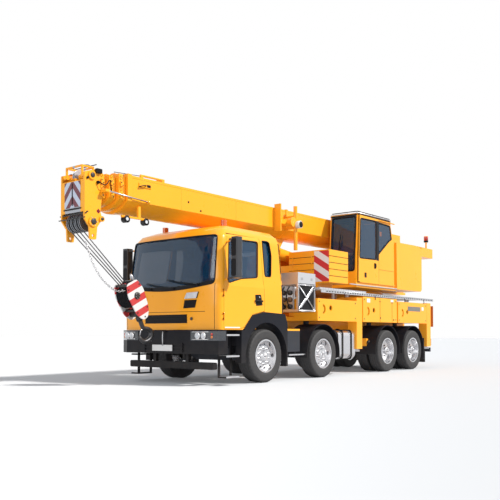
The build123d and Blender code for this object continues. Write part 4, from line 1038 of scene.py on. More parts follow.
def dressGrille():
    piece = Piece("cab_grille", "chassis")
    frontPatch(piece, (1.105, 1.255), 0.545, 0.003, 0.010, trimBlack)
    for z in (1.108, 1.152, 1.205, 1.252):
        tube(piece, onFront(np.linspace(-0.55, 0.55, 30), z, 0.006), 0.006, sealRubber, 6)
    outlinePatch(piece, cab["ventOutline"], 0.004, 0.010, trimBlack)
    outlinePatch(piece, cab["lampOutline"], 0.027, 0.030, clearLens)
    seams = [(np.linspace(-0.95, 0.95, 40), 1.305)]
    seams += [(sign * 1.135, np.linspace(0.995, 1.795, 30)) for sign in (1, -1)]
    for y, z in seams:
        tube(piece, onFront(y, z, 0.0005), 0.004, sealRubber, 6)
    disc(piece, (1.400, 0.66, 1.180), "x", ((0, 0.030), (0.006, 0.030), (0.010, 0.022)), darkSteel, 24)
    piece.finished()


def frontOfBumper(y):
    table = np.array(cab["bumperPlan"])
    return np.interp(abs(y), table[:, 0], table[:, 1])


def dressLamps():
    trim = Piece("front_lamps", "chassis")
    for sign in (1, -1):
        for y in (0.86, 0.99):
            face, wide = frontOfBumper(y), 0.052
            rim = ((0, wide + 0.012), (0.006, wide + 0.012), (0.010, wide))
            lens = ((0, wide), (0.008, wide * 0.9), (0.014, wide * 0.5), (0.016, 0.004))
            disc(trim, (face - 0.002, sign * y, 0.880), "x", rim, chrome, 28)
            disc(trim, (face + 0.004, sign * y, 0.880), "x", lens, clearLens, 28)
        strip = np.linspace(0.74, 1.08, 12)
        line = np.column_stack([frontOfBumper(strip) + 0.004, sign * strip, np.full(12, 0.945)])
        tube(trim, line, 0.006, clearLens, 6)
        tube(trim, line - (0, 0, 0.128), 0.006, chrome, 6)
        for z, finish in ((0.905, redLens), (0.855, amberLens)):
            place = (frontOfBumper(1.13) - 0.004, sign * 1.13, z)
            disc(trim, place, "x", ((0, 0.024), (0.010, 0.023), (0.016, 0.010)), finish, 20)
    # tow pin and its plate in the middle of the bumper
    pin = [(1.478, 0.02, 0.70), (1.486, 0.02, 0.78), (1.486, 0.02, 0.90), (1.478, 0.02, 0.955)]
    tube(trim, pin, 0.012, boltSteel, 12)
    brick(trim, (1.440, -0.05, 0.945), (1.486, 0.09, 0.965), trimBlack, 0.004)
    # number plate, left blank
    slab(trim, roundedLoop(oblong(-0.26, 0.26, 0.605, 0.715), 0.008), "x", 1.476, 1.482, whiteMark, 0.001)
    trim.finished()


def dressDoor(sideName, sign):
    trim = Piece(f"door_trim_{sideName}", f"cab_door_{sideName}")
    window = spaced(roundedLoop(cab["doorWindow"], 0.045, 4), 0.03)
    tube(trim, onSide(window, sign, 0.001), cab["sealWidth"], sealRubber, 8, True, 0.7)
    recess = roundedLoop(((0.125, 1.440), (0.320, 1.425), (0.345, 1.630), (0.175, 1.640)), 0.02, 3)
    slab(trim, recess, "y", sign * 1.2495, sign * 1.2530, trimBlack, 0.001)
    handle = ((0.150, 1.262, 1.515), (0.17, 1.281, 1.516), (0.33, 1.281, 1.516), (0.35, 1.262, 1.515))
    tube(trim, np.array(handle) * (1, sign, 1), 0.017, trimBlack, 10, False, 1.3)
    lock = ((0, 0.014), (sign * 0.004, 0.014), (sign * 0.006, 0.008))
    disc(trim, (0.215, sign * 1.2525, 1.585), "y", lock, boltSteel, 16)
    low, high = sorted((sign * 1.2500, sign * 1.2535))
    brick(trim, (0.775, low, 1.014), (1.175, high, 1.036), whiteMark, 0.001)
    for low, high in ((1.915, 2.215), (2.265, 2.565)):
        glass = roundedLoop(oblong(1.362, 1.497, low, high), 0.02, 3)
        slab(trim, glass * (sign, 1), "x", 1.0055, 1.0115, mirrorGlass, 0.001)
        rib = roundedLoop(oblong(1.370, 1.480, low, high), 0.03, 3)
        slab(trim, rib * (sign, 1), "x", 1.149, 1.155, trimBlack, 0.004)
    trim.finished()


def dressSteps():
    strips = Piece("step_edges", "chassis")
    for z in (0.150, 0.515, 0.890):
        brick(strips, (0.775, 1.236, z - 0.013), (1.125, 1.2415, z + 0.0145), sheetAluminium, 0.001)
        brick(strips, (0.780, 1.060, z + 0.0135), (1.120, 1.236, z + 0.0165), deckPlate, 0.001)
    strips.finished(True)


cabSkin()
cabPanes()
dressFront()
dressGrille()
dressLamps()
for sideName, sign in (("left", 1), ("right", -1)):
    dressDoor(sideName, sign)
dressSteps()
print("stage: truck cab")


# Boom: collars, head fittings and the small parts along its side, in the boom's own line

boom = {
    "nose": 9.450,
    "step": 0.165,
    "inset": 0.042,
    "half": 0.400,
    "top": 0.368,
    "crease": -0.060,
    "head": 9.945,
    "plate": 0.310,
    "stripeWidth": 0.125,
    "chevron": ((0.50, 0.56, 0.68), (0.13, 0.006, 0.020)),
}


def box3(piece, x, y, z, finish, bevel=0.004):
    brick(piece, (x[0], y[0], z[0]), (x[1], y[1], z[1]), finish, bevel)


def pairBox(piece, x, sign, y, z, finish, bevel=0.004):
    # a block on one side of the machine, between two distances from its middle
    box3(piece, x, sorted((sign * y[0], sign * y[1])), z, finish, bevel)


def dressNose():
    # the base section's nose: welds, pocket, C handle and the lamp fittings
    nose, half, top = boom["nose"], boom["half"], boom["top"]
    trim = Piece("boom_side", "boom_base", onBoom)
    for sign in (1, -1):
        face = sign * (half + 0.0005)
        for z in (0.33, -0.055):
            weld = np.column_stack([np.linspace(0.5, nose - 0.1, 24), np.full(24, face), np.full(24, z)])
            tube(trim, weld, 0.0035, yellow, 6)
        for x in (1.6, 3.3, 6.7, 8.2):
            height = np.linspace(boom["crease"], top - 0.005, 12)
            weld = np.column_stack([np.full(12, x), np.full(12, face), height])
            tube(trim, weld, 0.003, yellow, 6)
        plug = ((0, 0.020), (sign * 0.004, 0.019), (sign * 0.005, 0.010))
        for x, z in ((8.02, 0.115), (7.70, -0.005)):
            disc(trim, (x, sign * half, z), "y", plug, trimBlack, 20)
        # bracket with a slot, for a hand rope
        pairBox(trim, (8.93, 9.20), sign, (0.399, 0.418), (0.20, 0.28), yellow, 0.006)
        pairBox(trim, (8.95, 9.03), sign, (0.415, 0.421), (0.215, 0.262), trimBlack, 0.001)
        handle = (
            (9.07, 0.41, 0.235), (9.07, 0.445, 0.235), (9.14, 0.452, 0.225), (9.20, 0.445, 0.205),
            (9.20, 0.41, 0.205),
        )
        tube(trim, throughPoints(np.array(handle) * (1, sign, 1), 6), 0.009, trimBlack, 8)
        # work lamps below, on the left: reflectors in black housings
        if sign > 0:
            rim = ((0, 0.060), (0.012, 0.061), (0.016, 0.052))
            lens = ((0, 0.050), (0.006, 0.045), (0.009, 0.02))
            for x in (9.03, 9.45):
                disc(trim, (x, 0.390, -0.370), "y", rim, trimBlack, 24)
                disc(trim, (x, 0.398, -0.370), "y", lens, clearLens, 24)
    # bracket and guide line that run above the boom
    box3(trim, (8.55, 8.61), (0.10, 0.34), (top - 0.002, top + 0.075), yellow, 0.006)
    box3(trim, (8.55, 9.10), (0.305, 0.335), (top + 0.045, top + 0.075), yellow, 0.006)
    box3(trim, (9.04, 9.10), (0.30, 0.34), (top - 0.002, top + 0.060), yellow, 0.006)
    line = [(8.58, 0.27, top + 0.062), (9.10, 0.27, top + 0.058), (9.62, 0.27, top + 0.030)]
    tube(trim, line, 0.006, ropeSteel, 8)
    trim.finished()


def dressCollars():
    # each section's collar carries screws, eyes and a dark line at its mouth, which is painted shade
    for number in range(1, 4):
        piece = Piece(f"collar_{number}", f"boom_section_{number}", onBoom)
        inset = number * boom["inset"] - 0.032
        nose = boom["nose"] + number * boom["step"]
        half, top, low = boom["half"] - inset, boom["top"] - inset, boom["crease"]
        for sign in (1, -1):
            near, far = sign * half, sign * (half + 0.030)
            for z in (0.19, -0.01):
                places = [(nose - 0.062, far, z - 0.022), (nose - 0.034, far, z + 0.022)]
                bolts(piece, places, "y", 0.010, sign * 0.009, darkSteel)
            for z in (0.28, 0.09):
                eye = [
                    (nose - 0.05, near, z), (nose - 0.05, sign * (half + 0.028), z + 0.004),
                    (nose - 0.035, far, z + 0.030), (nose - 0.028, near, z + 0.034),
                ]
                tube(piece, throughPoints(eye, 5), 0.006, yellow, 8)
            places = [(nose - 0.049, sign * y, top + 0.030) for y in (0.17, 0.22)]
            bolts(piece, places, "z", 0.010, 0.009, darkSteel)
        # the dark tube round the section is painted shade at the collar's mouth, not grease
        out = half + 0.0008
        shade = spaced([(out, low), (out, top), (-out, top), (-out, low)], 0.05, False)
        path = np.column_stack([np.full(len(shade), nose - 0.092), shade])
        tube(piece, path, 0.004, darkSteel, 6)
        piece.finished()


def dressHead():
    head, plate = boom["head"], boom["plate"]
    piece = Piece("head_fittings", "boom_section_3", onBoom)
    front = head + 0.285
    plateLoop = roundedLoop(oblong(-0.205, 0.205, -0.245, 0.165), 0.012)
    slab(piece, plateLoop, "x", front, front + 0.005, chevronPlate, 0.001)
    box3(piece, (front, front + 0.012), (-0.225, 0.225), (-0.285, -0.262), trimBlack)
    box3(piece, (front + 0.004, front + 0.009), (-0.012, 0.012), (-0.22, 0.14), trimBlack, 0.001)
    # guard rods across the lower sheaves and the cross rod below them
    for x, z, radius in ((0.245, -0.335, 0.012), (0.275, -0.36, 0.010), (0.300, -0.43, 0.009)):
        tube(piece, [(head + x, y, z) for y in (-plate - 0.03, 0, plate + 0.03)], radius, darkSteel, 10)
    diamond = ((0.02, -0.34), (0.06, -0.30), (0.02, -0.26), (-0.02, -0.30))
    for sign in (1, -1):
        side, boss = sign * (plate + 0.0005), sign * (plate + 0.026)
        for x, z, wide in ((0.13, -0.480, 0.050), (0.15, 0.258, 0.040), (-0.04, -0.42, 0.026)):
            cap = ((0, wide), (sign * 0.010, wide), (sign * 0.014, wide * 0.7))
            disc(piece, (head + x, boss, z), "y", cap, darkSteel, 24)
        bolts(piece, ringOf(6, 0.066, (head + 0.13, boss, -0.48)), "y", 0.008, sign * 0.008, boltSteel)
        # junction box, two plugs and a small diamond mark
        box = sorted((side, sign * (plate + 0.055)))
        box3(piece, (head - 0.02, head + 0.09), box, (0.30, 0.375), trimBlack, 0.008)
        plug = ((0, 0.028), (sign * 0.03, 0.026), (sign * 0.05, 0.014))
        disc(piece, (head + 0.035, side, 0.16), "y", plug, trimBlack, 16)
        plug = ((0, 0.020), (sign * 0.022, 0.018), (sign * 0.024, 0.006))
        disc(piece, (head + 0.235, side, 0.205), "y", plug, trimBlack, 16)
        loop = roundedLoop(np.array(diamond) + (head, 0), 0.004)
        slab(piece, loop, "y", side, sign * (plate + 0.004), maroonMark, 0.001)
    hose = (
        (0.035, 0.05, 0.16), (-0.05, 0.09, 0.12), (-0.16, 0.07, 0.22), (-0.20, 0.05, 0.10),
        (-0.24, 0.05, -0.05),
    )
    tube(piece, throughPoints(np.array(hose) + (head, plate, 0), 8), 0.008, sealRubber, 8)
    # a short rod with a ball end
    rod = [(head - 0.08, 0.43, 0.03), (head - 0.50, 0.435, -0.005), (head - 0.90, 0.44, -0.035)]
    tube(piece, rod, 0.012, boltSteel, 10)
    box3(piece, (head - 0.10, head - 0.02), (0.30, 0.445), (0.005, 0.055), yellow, 0.006)
    ball = ((-0.028, 0.010), (-0.020, 0.024), (0, 0.030), (0.020, 0.024), (0.028, 0.010))
    disc(piece, (head - 0.93, 0.44, -0.037), "x", ball, yellow, 16)
    for y in (-0.20, 0.20):
        guard = [(head + x, y, z) for x, z in ((0.03, 0.415), (0.14, 0.440), (0.26, 0.415))]
        tube(piece, guard, 0.007, darkSteel, 8)
    tube(piece, [(head + 0.03, -0.27, 0.452), (head + 0.03, 0.27, 0.452)], 0.008, darkSteel, 8)
    piece.finished()


# dark bands that fall from the middle of the plate: the level rises with the distance sideways
chevronPlate = bandedPlate(
    "chevron plate", lambda x, y, z: z + abs(y) * 1.15, boom["stripeWidth"], boom["chevron"],
    (0.2, (0.30, 0.29, 0.30)),
)
dressNose()
dressCollars()
dressHead()
print("stage: boom")


# Hook block: striped cheeks, grooved sheaves, a forged hook, and the slack chain above it

hookBlock = {
    "cheek": (
        (-0.120, 0.000), (0.120, 0.000), (0.190, -0.200), (0.150, -0.560), (0.060, -0.700),
        (-0.060, -0.700), (-0.150, -0.560), (-0.190, -0.200),
    ),
    "corners": ((-0.13, -0.10), (0.13, -0.10), (-0.12, -0.53), (0.12, -0.53), (0, -0.66)),
    "hook": (
        (0, -0.640), (0, -0.74), (0, -0.860), (-0.030, -0.905), (-0.100, -0.955), (-0.140, -1.030),
        (-0.095, -1.105), (0, -1.130), (0.095, -1.100), (0.135, -1.020), (0.130, -0.965),
    ),
    "hookRadii": ((0, 0.25, 0.45, 0.70, 0.90, 1), (0.040, 0.038, 0.042, 0.050, 0.030, 0.012)),
    "groove": ((-0.024, 0), (-0.018, 0), (-0.010, -0.020), (0.010, -0.020), (0.018, 0), (0.024, 0)),
    "sheave": 0.205,
    "sheaveHeight": -0.260,
    "sheaves": (-0.105, -0.035, 0.035, 0.105),
    "falls": (-0.150, -0.050, 0.050, 0.150),
    "stripe": 0.115,
    "stripes": ((0.68, 0.68, 0.68), (0.52, 0.018, 0.022)),
    "chain": (
        (3.222, 0.06, 2.400), (3.190, 0.10, 2.250), (3.120, 0.15, 2.020), (3.000, 0.19, 1.820),
        (2.850, 0.21, 1.690), (2.680, 0.20, 1.620), (2.480, 0.16, 1.640),
    ),
}


def ropeFalls():
    # straight falls from the head's sheaves to the block's, in the crane's own frame
    piece = Piece("rope_falls", "hook_block")
    for y in hookBlock["falls"]:
        top, foot = np.array((3.371, y, 2.589)), np.array((2.300, y * 0.7, 1.680))
        tube(piece, [top, (top + foot) / 2, foot], 0.009, ropeSteel, 10)
    piece.finished()


def forgedHook(piece):
    # a round bar swept along the hook's line, thick in the saddle and drawn out at the tip
    line = throughPoints([(x, 0, z) for x, z in hookBlock["hook"]], 6)
    radius = np.interp(np.linspace(0, 1, len(line)), *hookBlock["hookRadii"])
    tube(piece, line, radius, hookSteel, 20)
    disc(piece, (0, 0, -0.70), "z", ((-0.03, 0.060), (0.03, 0.060), (0.05, 0.045)), darkSteel, 24)
    tube(piece, [(0.020, 0.0, -0.875), (0.070, 0, -0.905), (0.118, 0, -0.965)], 0.009, boltSteel, 8)


def chain(piece, path, wire, length):
    # oval links along a line, every other one turned a quarter round it
    places = spaced(path, length, False)
    turn = np.linspace(0, 2 * pi, 12, endpoint=False)
    for index, (start, stop) in enumerate(zip(places[:-1], places[1:])):
        ahead = (stop - start) / np.linalg.norm(stop - start)
        side = np.cross(ahead, (0, 1.0, 0)) if index % 2 else np.array([0, 1.0, 0])
        side /= np.linalg.norm(side)
        oval = np.outer(np.cos(turn) * length * 0.62, ahead) + np.outer(np.sin(turn) * length * 0.36, side)
        tube(piece, (start + stop) / 2 + oval, wire, boltSteel, 5, True)


def dressHook():
    block = Piece("hook_cheeks", "hook_block", onHook)
    cheek = roundedLoop(hookBlock["cheek"], 0.05, 4)
    height, radius = hookBlock["sheaveHeight"], hookBlock["sheave"]
    for sign in (1, -1):
        face = sign * 0.170
        slab(block, cheek, "y", sign * 0.150, face, stripedCheek)
        hub = ((0, 0.062), (sign * 0.014, 0.060), (sign * 0.020, 0.040))
        disc(block, (0, face, height), "y", hub, darkSteel, 32)
        bolts(block, ringOf(6, 0.045, (0, sign * 0.186, height)), "y", 0.008, sign * 0.008, boltSteel)
        places = [(x, face, z) for x, z in hookBlock["corners"]]
        bolts(block, places, "y", 0.014, sign * 0.010, darkSteel)
    groove = [(along, radius + rise) for along, rise in hookBlock["groove"]]
    for y in hookBlock["sheaves"]:
        disc(block, (0, y, height), "y", [(-0.024, 0.05), *groove, (0.024, 0.05)], darkNylon, 48, False)
    tube(block, [(0, -0.150, height), (0, 0.150, height)], 0.040, darkSteel, 20)
    tube(block, [(0, -0.150, -0.600), (0, 0.150, -0.600)], 0.060, darkSteel, 24)
    for z in (-0.03, -0.50):
        for x in ((-0.11, -0.07), (0.07, 0.11)):
            box3(block, x, (-0.150, 0.150), (z - 0.02, z + 0.02), darkSteel)
    forgedHook(block)
    # rope socket at the block's top, silver
    socket = ((-0.06, 0.030), (0.05, 0.034), (0.10, 0.026), (0.13, 0.012))
    disc(block, (-0.09, 0.10, -0.02), "z", socket, boltSteel, 20)
    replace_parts(block.finished(), "hook_block")


def slackChain():
    piece = Piece("slack_chain", "boom_section_3")
    chain(piece, throughPoints(hookBlock["chain"], 10), 0.0055, 0.040)
    piece.finished()


# red and white bands across the cheek, square to its length
stripedCheek = bandedPlate(
    "striped cheek", lambda x, y, z: z * 0.89 + (x - axleOne) * 0.46, hookBlock["stripe"],
    hookBlock["stripes"], (0.22, (0.25, 0.20, 0.19)), (0.16, 0.30), 0.0005,
)
ropeFalls()
dressHook()
slackChain()
print("stage: hook block")


# Crane cab: seals, roof edge, handles, wiper and the step along its foot

craneCab = {
    "side": 1.214,
    "doorSide": 1.250,
    "doorWindow": ((-3.405, 2.640), (-3.450, 3.550), (-4.180, 3.565), (-4.180, 2.660)),
    "door": ((-3.352, 2.100), (-3.362, 2.590), (-3.420, 3.606), (-4.290, 3.606), (-4.290, 2.100)),
    "rearWindow": ((-4.330, 2.790), (-4.330, 3.560), (-4.930, 3.545), (-5.010, 3.215), (-4.920, 3.200)),
    "rightWindow": ((-3.470, 2.650), (-3.510, 3.560), (-4.700, 3.560), (-4.700, 2.900)),
    "front": ((2.000, -3.300), (2.600, -3.312), (3.665, -3.385)),
    "roof": ((-3.405, 3.688), (-4.915, 3.712)),
    "seal": 0.016,
    "house": 1.240,
    "slots": ((-6.44, 2.66, 0.055, 0.34), (-6.329, 3.069, 0.05, 0.12)),
    "hazard": ((0.72, 0.70, 0.70), (0.55, 0.020, 0.028)),
}


def sideLoop(corners, y, radius=0.04, step=0.04):
    loop = spaced(roundedLoop(corners, radius, 4), step)
    return np.column_stack([loop[:, 0], np.full(len(loop), y), loop[:, 1]])


def craneFront(y, z, out=0.0):
    table = np.array(craneCab["front"])
    return np.column_stack([np.interp(z, table[:, 0], table[:, 1]) + out, y, z])


def dressCraneCab():
    shell = Piece("crane_cab_trim", "superstructure")
    side, seal, house = craneCab["side"], craneCab["seal"], craneCab["house"]
    # the sliding door passes 6 mm off this wall, so what lies on it stays flat
    tube(shell, sideLoop(craneCab["rearWindow"], side), seal, trimBlack, 8, True, 0.25)
    tube(shell, sideLoop(craneCab["rightWindow"], 0.489), seal, trimBlack, 8, True, 0.6)
    post = np.array(((-4.345, 2.750), (-4.345, 3.575), (-4.297, 3.575), (-4.297, 2.700)))
    slab(shell, post, "y", side, side + 0.003, trimBlack, 0.001)
    pane = spaced(roundedLoop(oblong(0.545, 1.164, 2.350, 3.590), 0.05, 4), 0.04)
    tube(shell, craneFront(pane[:, 0], pane[:, 1], 0.002), seal * 1.3, trimBlack, 8, True, 0.6)
    # roof edge: a black gutter under a silver lip, on three sides
    (frontX, frontZ), (rearX, rearZ) = craneCab["roof"]
    edge = np.array([
        (rearX, side + 0.012, rearZ - 0.030), (frontX, side + 0.012, frontZ - 0.018),
        (frontX + 0.035, side - 0.03, frontZ - 0.022), (frontX + 0.035, 0.520, frontZ - 0.022),
        (frontX, 0.480, frontZ - 0.018), (rearX, 0.480, rearZ - 0.030),
    ])
    tube(shell, edge, 0.013, sheetAluminium, 8)
    tube(shell, edge - (0, 0, 0.034), 0.013, trimBlack, 8)
    tube(shell, edge[:4] * (1, 0.94, 1) + (0, 0.05, 0.035), 0.010, trimBlack, 8)
    for x in (-3.48, -4.10, -4.80):
        tube(shell, [(x, 1.205, 3.665), (x, 1.197, 3.725)], 0.008, trimBlack, 8)
    brick(shell, (-5.200, 1.205, 2.012), (-3.020, 1.250, 2.034), sheetAluminium, 0.003)
    tube(shell, [(-3.300, 0.86, 2.40), (-3.285, 0.82, 2.70), (-3.300, 0.78, 3.05)], 0.010, trimBlack, 8)
    tube(shell, [(-3.300, 0.74, 2.62), (-3.318, 0.80, 3.20)], 0.008, sealRubber, 8)
    disc(shell, (-3.312, 0.86, 2.40), "x", ((0, 0.030), (0.030, 0.028), (0.036, 0.012)), trimBlack, 16)
    # control boxes seen through the front pane, and a small sticker in the rear window
    brick(shell, (-3.42, 0.56, 2.30), (-3.35, 1.14, 2.42), trimBlack, 0.01)
    brick(shell, (-3.50, 0.98, 3.30), (-3.40, 1.10, 3.44), trimBlack, 0.01)
    sticker = roundedLoop(oblong(-4.44, -4.53, 3.250, 3.360), 0.005)
    slab(shell, sticker, "y", side - 0.020, side - 0.017, orangeMark, 0.001)
    # lower door line, house seams, dark slots and round plugs
    seams = (
        (side, (-4.32, 2.06), (-4.32, 2.69)), (house, (-5.21, 2.06), (-5.21, 3.10)),
        (side, (-4.32, 2.44), (-5.10, 2.44)),
    )
    for y, *path in seams:
        tube(shell, [(x, y, z) for x, z in path], 0.0032, sealRubber, 6)
    for x, z, wide, high in craneCab["slots"]:
        slot = roundedLoop(oblong(x - wide, x + wide, z - high / 2, z + high / 2), 0.03, 4)
        slab(shell, slot, "y", house - 0.0005, house + 0.0025, trimBlack, 0.001)
    for x in (-5.53, -6.00, -6.52):
        disc(shell, (x, house, 2.125), "y", ((0, 0.030), (0.003, 0.030), (0.004, 0.020)), trimBlack, 20)
    shell.finished()


def dressCraneDoor():
    leaf = Piece("crane_door_trim", "crane_door")
    side, seal = craneCab["doorSide"], craneCab["seal"]
    tube(leaf, sideLoop(craneCab["doorWindow"], side + 0.001), seal, trimBlack, 8, True, 0.6)
    leafEdge = insetLoop(np.array(craneCab["door"]), -0.008)
    tube(leaf, sideLoop(leafEdge, side - 0.006, 0.02), 0.006, sealRubber, 6, True)
    post = np.array(((-4.286, 2.640), (-4.286, 3.580), (-4.178, 3.580), (-4.178, 2.640)))
    slab(leaf, post, "y", side, side + 0.003, trimBlack, 0.001)
    plate = roundedLoop(oblong(-4.150, -4.070, 2.440, 2.570), 0.015)
    slab(leaf, plate, "y", side, side + 0.006, trimBlack, 0.002)
    grip = ((0.010, 2.455), (0.028, 2.475), (0.028, 2.540), (0.010, 2.560))
    tube(leaf, [(-4.110, side + out, z) for out, z in grip], 0.012, trimBlack, 10)
    lock = roundedLoop(oblong(-3.710, -3.620, 2.205, 2.320), 0.012)
    slab(leaf, lock, "y", side, side + 0.005, trimBlack, 0.002)
    leaf.finished()


def dressBallast():
    piece = Piece("ballast_plate", "chassis")
    for sign in (1, -1):
        loop = roundedLoop(oblong(sign * 0.865, sign * 1.242, 2.030, 2.690), 0.008)
        slab(piece, loop, "x", -2.1385, -2.1335, hatchPlate, 0.001)
        for level in (2.150, 2.295, 2.435, 2.575):
            line = ((-2.139, 0.20), (-2.139, 1.2515), (-2.88, 1.2515))
            tube(piece, [(x, sign * y, level) for x, y in line], 0.005, sealRubber, 6)
            for y in (0.30, 0.80):
                lug = [(-2.137, sign * y, level - 0.045), (-2.137, sign * y, level + 0.045)]
                tube(piece, lug, 0.010, yellow, 8)
    piece.finished()


# red and white bands that lean across the plates
hatchPlate = bandedPlate(
    "hazard plate", lambda x, y, z: z + y * 0.62, 0.15, craneCab["hazard"], None, (0.14, 0.3), None,
)
dressCraneCab()
dressCraneDoor()
dressBallast()
print("stage: crane cab and ballast")


# Chassis sides: boxes, deck edge, tank straps, stowage frame, valves and hoses

sides = {
    "boxes": ((-3.270, -1.700, 1.650), (-5.190, -3.550, 1.762), (-6.878, -5.260, 1.712)),
    "boxFace": 1.250,
    "boxFoot": 1.185,
    "boxSeams": (-4.34, -4.94),
    "boxPlugs": ((-4.34, 1.678), (-4.36, 1.287), (-4.94, 1.660), (-5.02, 1.250)),
    "boxMarks": (
        (-3.796, 1.681, 0.075, 0.045), (-4.94, 1.712, 0.07, 0.03), (-6.633, 1.564, 0.06, 0.045),
        (-6.14, 1.548, 0.36, 0.060),
    ),
    "deckEdge": (1.780, 1.842),
    "deckEyes": (-2.75, -4.10, -5.60, -6.70),
    "strapPlaces": (-3.101, -2.741),
    "tank": (0.365, 0.980),
    "stowage": (1.372, 1.900, 1.201),
}


def dressBoxes():
    piece = Piece("box_fittings", "chassis")
    face, foot = sides["boxFace"], sides["boxFoot"]
    for rear, front, top in sides["boxes"]:
        for z in (top - 0.06, foot + 0.07):
            for x in (front - 0.06, rear + 0.06):
                disc(piece, (x, face, z), "y", ((0, 0.016), (0.004, 0.016), (0.006, 0.008)), darkSteel, 16)
        # dark floor of the round recess and of the crescent beside it
        floor = ((0.0005, 0.0575), (0.003, 0.0575))
        disc(piece, (front - 0.500, face - 0.040, 1.461), "y", floor, trimBlack, 32)
        arc = np.linspace(pi / 2, 3 * pi / 2, 16)
        outer = np.column_stack([0.104 * np.cos(arc), 0.104 * np.sin(arc)])
        inner = np.column_stack([0.052 * np.cos(arc[::-1]), 0.068 * np.sin(arc[::-1])])
        crescent = np.concatenate([outer, inner]) + (front - 0.197, 1.431)
        crescent = np.clip(crescent, (-99, 1.331), (99, 1.529))
        slab(piece, crescent, "y", face - 0.0395, face - 0.0365, trimBlack, 0.0005)
    for x in sides["boxSeams"]:
        seam = [(x, face + 0.001, foot + 0.01), (x, face + 0.001, sides["boxes"][1][2] - 0.01)]
        tube(piece, seam, 0.004, sealRubber, 6)
    for x, z in sides["boxPlugs"]:
        disc(piece, (x, face, z), "y", ((0, 0.020), (0.005, 0.020), (0.007, 0.010)), trimBlack, 16)
    for x, z, wide, high in sides["boxMarks"]:
        loop = roundedLoop(oblong(x - wide, x + wide, z - high, z + high), 0.006)
        finish = greyPlate if wide > 0.3 else whiteMark
        slab(piece, loop, "y", face + 0.0005, face + 0.004, finish, 0.001)
    piece.finished(True)


def dressDeck():
    piece = Piece("deck_edge", "chassis")
    low, high = sides["deckEdge"]
    for x in np.arange(-7.20, -1.95, 0.105):
        brick(piece, (x - 0.022, 1.2505, low + 0.018), (x + 0.022, 1.2530, high - 0.018), trimBlack, 0.0005)
    tube(piece, [(-7.285, 1.251, high - 0.003), (-1.845, 1.251, high - 0.003)], 0.004, boltSteel, 6)
    for x in sides["deckEyes"]:
        eye = [(x, 1.252, low + 0.02), (x, 1.262, low - 0.055), (x, 1.252, low - 0.075)]
        tube(piece, eye, 0.009, trimBlack, 8)
    piece.finished(True)


def dressTank():
    piece = Piece("tank_straps", "chassis")
    low, high = sides["tank"]
    for x in sides["strapPlaces"]:
        brick(piece, (x - 0.030, 1.198, low + 0.05), (x + 0.030, 1.2085, high - 0.05), trimBlack, 0.002)
        for edge, way in ((high, 1), (low, -1)):
            bend = ((0.70, 0.004), (1.12, 0.004), (1.185, -0.02), (1.205, -0.08))
            strap = [(x, y, edge + way * rise) for y, rise in bend]
            tube(piece, throughPoints(strap, 4), 0.020, trimBlack, 8, False, 0.3)
    cap = ((0, 0.060), (0.018, 0.060), (0.022, 0.050), (0.040, 0.046), (0.044, 0.030))
    disc(piece, (-2.92, 0.96, high), "z", cap, trimBlack, 28)
    piece.finished()


def dressStowage():
    piece = Piece("stowage_frame", "chassis")
    low, high, face = sides["stowage"]
    loop = [(x, face, z) for x, z in ((-1.672, low), (-1.088, low), (-1.088, high), (-1.672, high))]
    tube(piece, loop, 0.016, sheetAluminium, 8, True)
    for first, last, out in ((-1.600, -1.160, 0), (-1.160, -1.600, 0.004)):
        brace = [(first, face + out, low + 0.07), (last, face + out, high - 0.07)]
        tube(piece, brace, 0.014, sheetAluminium, 8)
    brick(piece, (-1.66, 1.180, low), (-1.10, 1.186, high), trimBlack, 0.001)
    tube(piece, [(-1.66, 1.2035, 1.925), (-1.10, 1.2035, 1.925)], 0.005, sealRubber, 6)
    for x in (-1.55, -1.21):
        brick(piece, (x - 0.03, 1.200, 2.00), (x + 0.03, 1.206, 2.05), boltSteel, 0.002)
    piece.finished()


def dressValves():
    # valves, filters and hoses packed behind the truck cab, and between the driven axles
    rack = Piece("valve_rack", "chassis")
    body = ((-0.02, 0.052), (0.030, 0.052), (0.045, 0.040))
    for row, z in enumerate((1.46, 1.60, 1.74)):
        for y in (0.70, 0.86, 1.02):
            finish = brownSteel if (row + int(y * 10)) % 2 else darkSteel
            disc(rack, (-1.050, y, z), "x", body, finish, 20)
    for shift in (0.0, 0.05, 0.10, 0.15):
        hose = [
            (-1.02, 0.66 + shift * 2.6, 1.42), (-0.90, 0.70 + shift * 2.4, 1.55),
            (-0.86, 0.74 + shift * 2.2, 1.72), (-0.95, 0.70 + shift * 2.5, 1.86),
        ]
        tube(rack, throughPoints(hose, 6), 0.014, sealRubber, 8)
    rack.finished()
    valves = Piece("axle_valves", "chassis")
    for x in (-4.30, -4.17):
        brick(valves, (x - 0.05, 0.80, 0.62), (x + 0.05, 1.00, 0.80), yellow, 0.012)
        disc(valves, (x, 1.00, 0.72), "y", ((0, 0.036), (0.05, 0.034), (0.06, 0.02)), darkSteel, 20)
    hose = [(-4.23, 0.98, 0.80), (-4.35, 1.02, 0.95), (-4.50, 0.94, 1.02), (-4.62, 0.86, 0.92)]
    tube(valves, throughPoints(hose, 6), 0.016, sealRubber, 8)
    brick(valves, (-1.347, 1.190, 0.485), (-0.766, 1.205, 0.512), sheetAluminium, 0.002)
    valves.finished()


def dressHolder():
    # white and dark roller on the jib holder, on the boom's left side
    piece = Piece("jib_roller", "boom_base", onBoom)
    roller = ((0, 0.075), (0.004, 0.080), (0.10, 0.080), (0.104, 0.070))
    disc(piece, (5.008, 0.66, 0.03), "y", roller, whiteMark, 28)
    disc(piece, (5.008, 0.76, 0.03), "y", ((0, 0.066), (0.012, 0.064), (0.016, 0.040)), trimBlack, 28)
    piece.finished()


# Rear: lamp clusters, marking plates, flaps and the winch rope

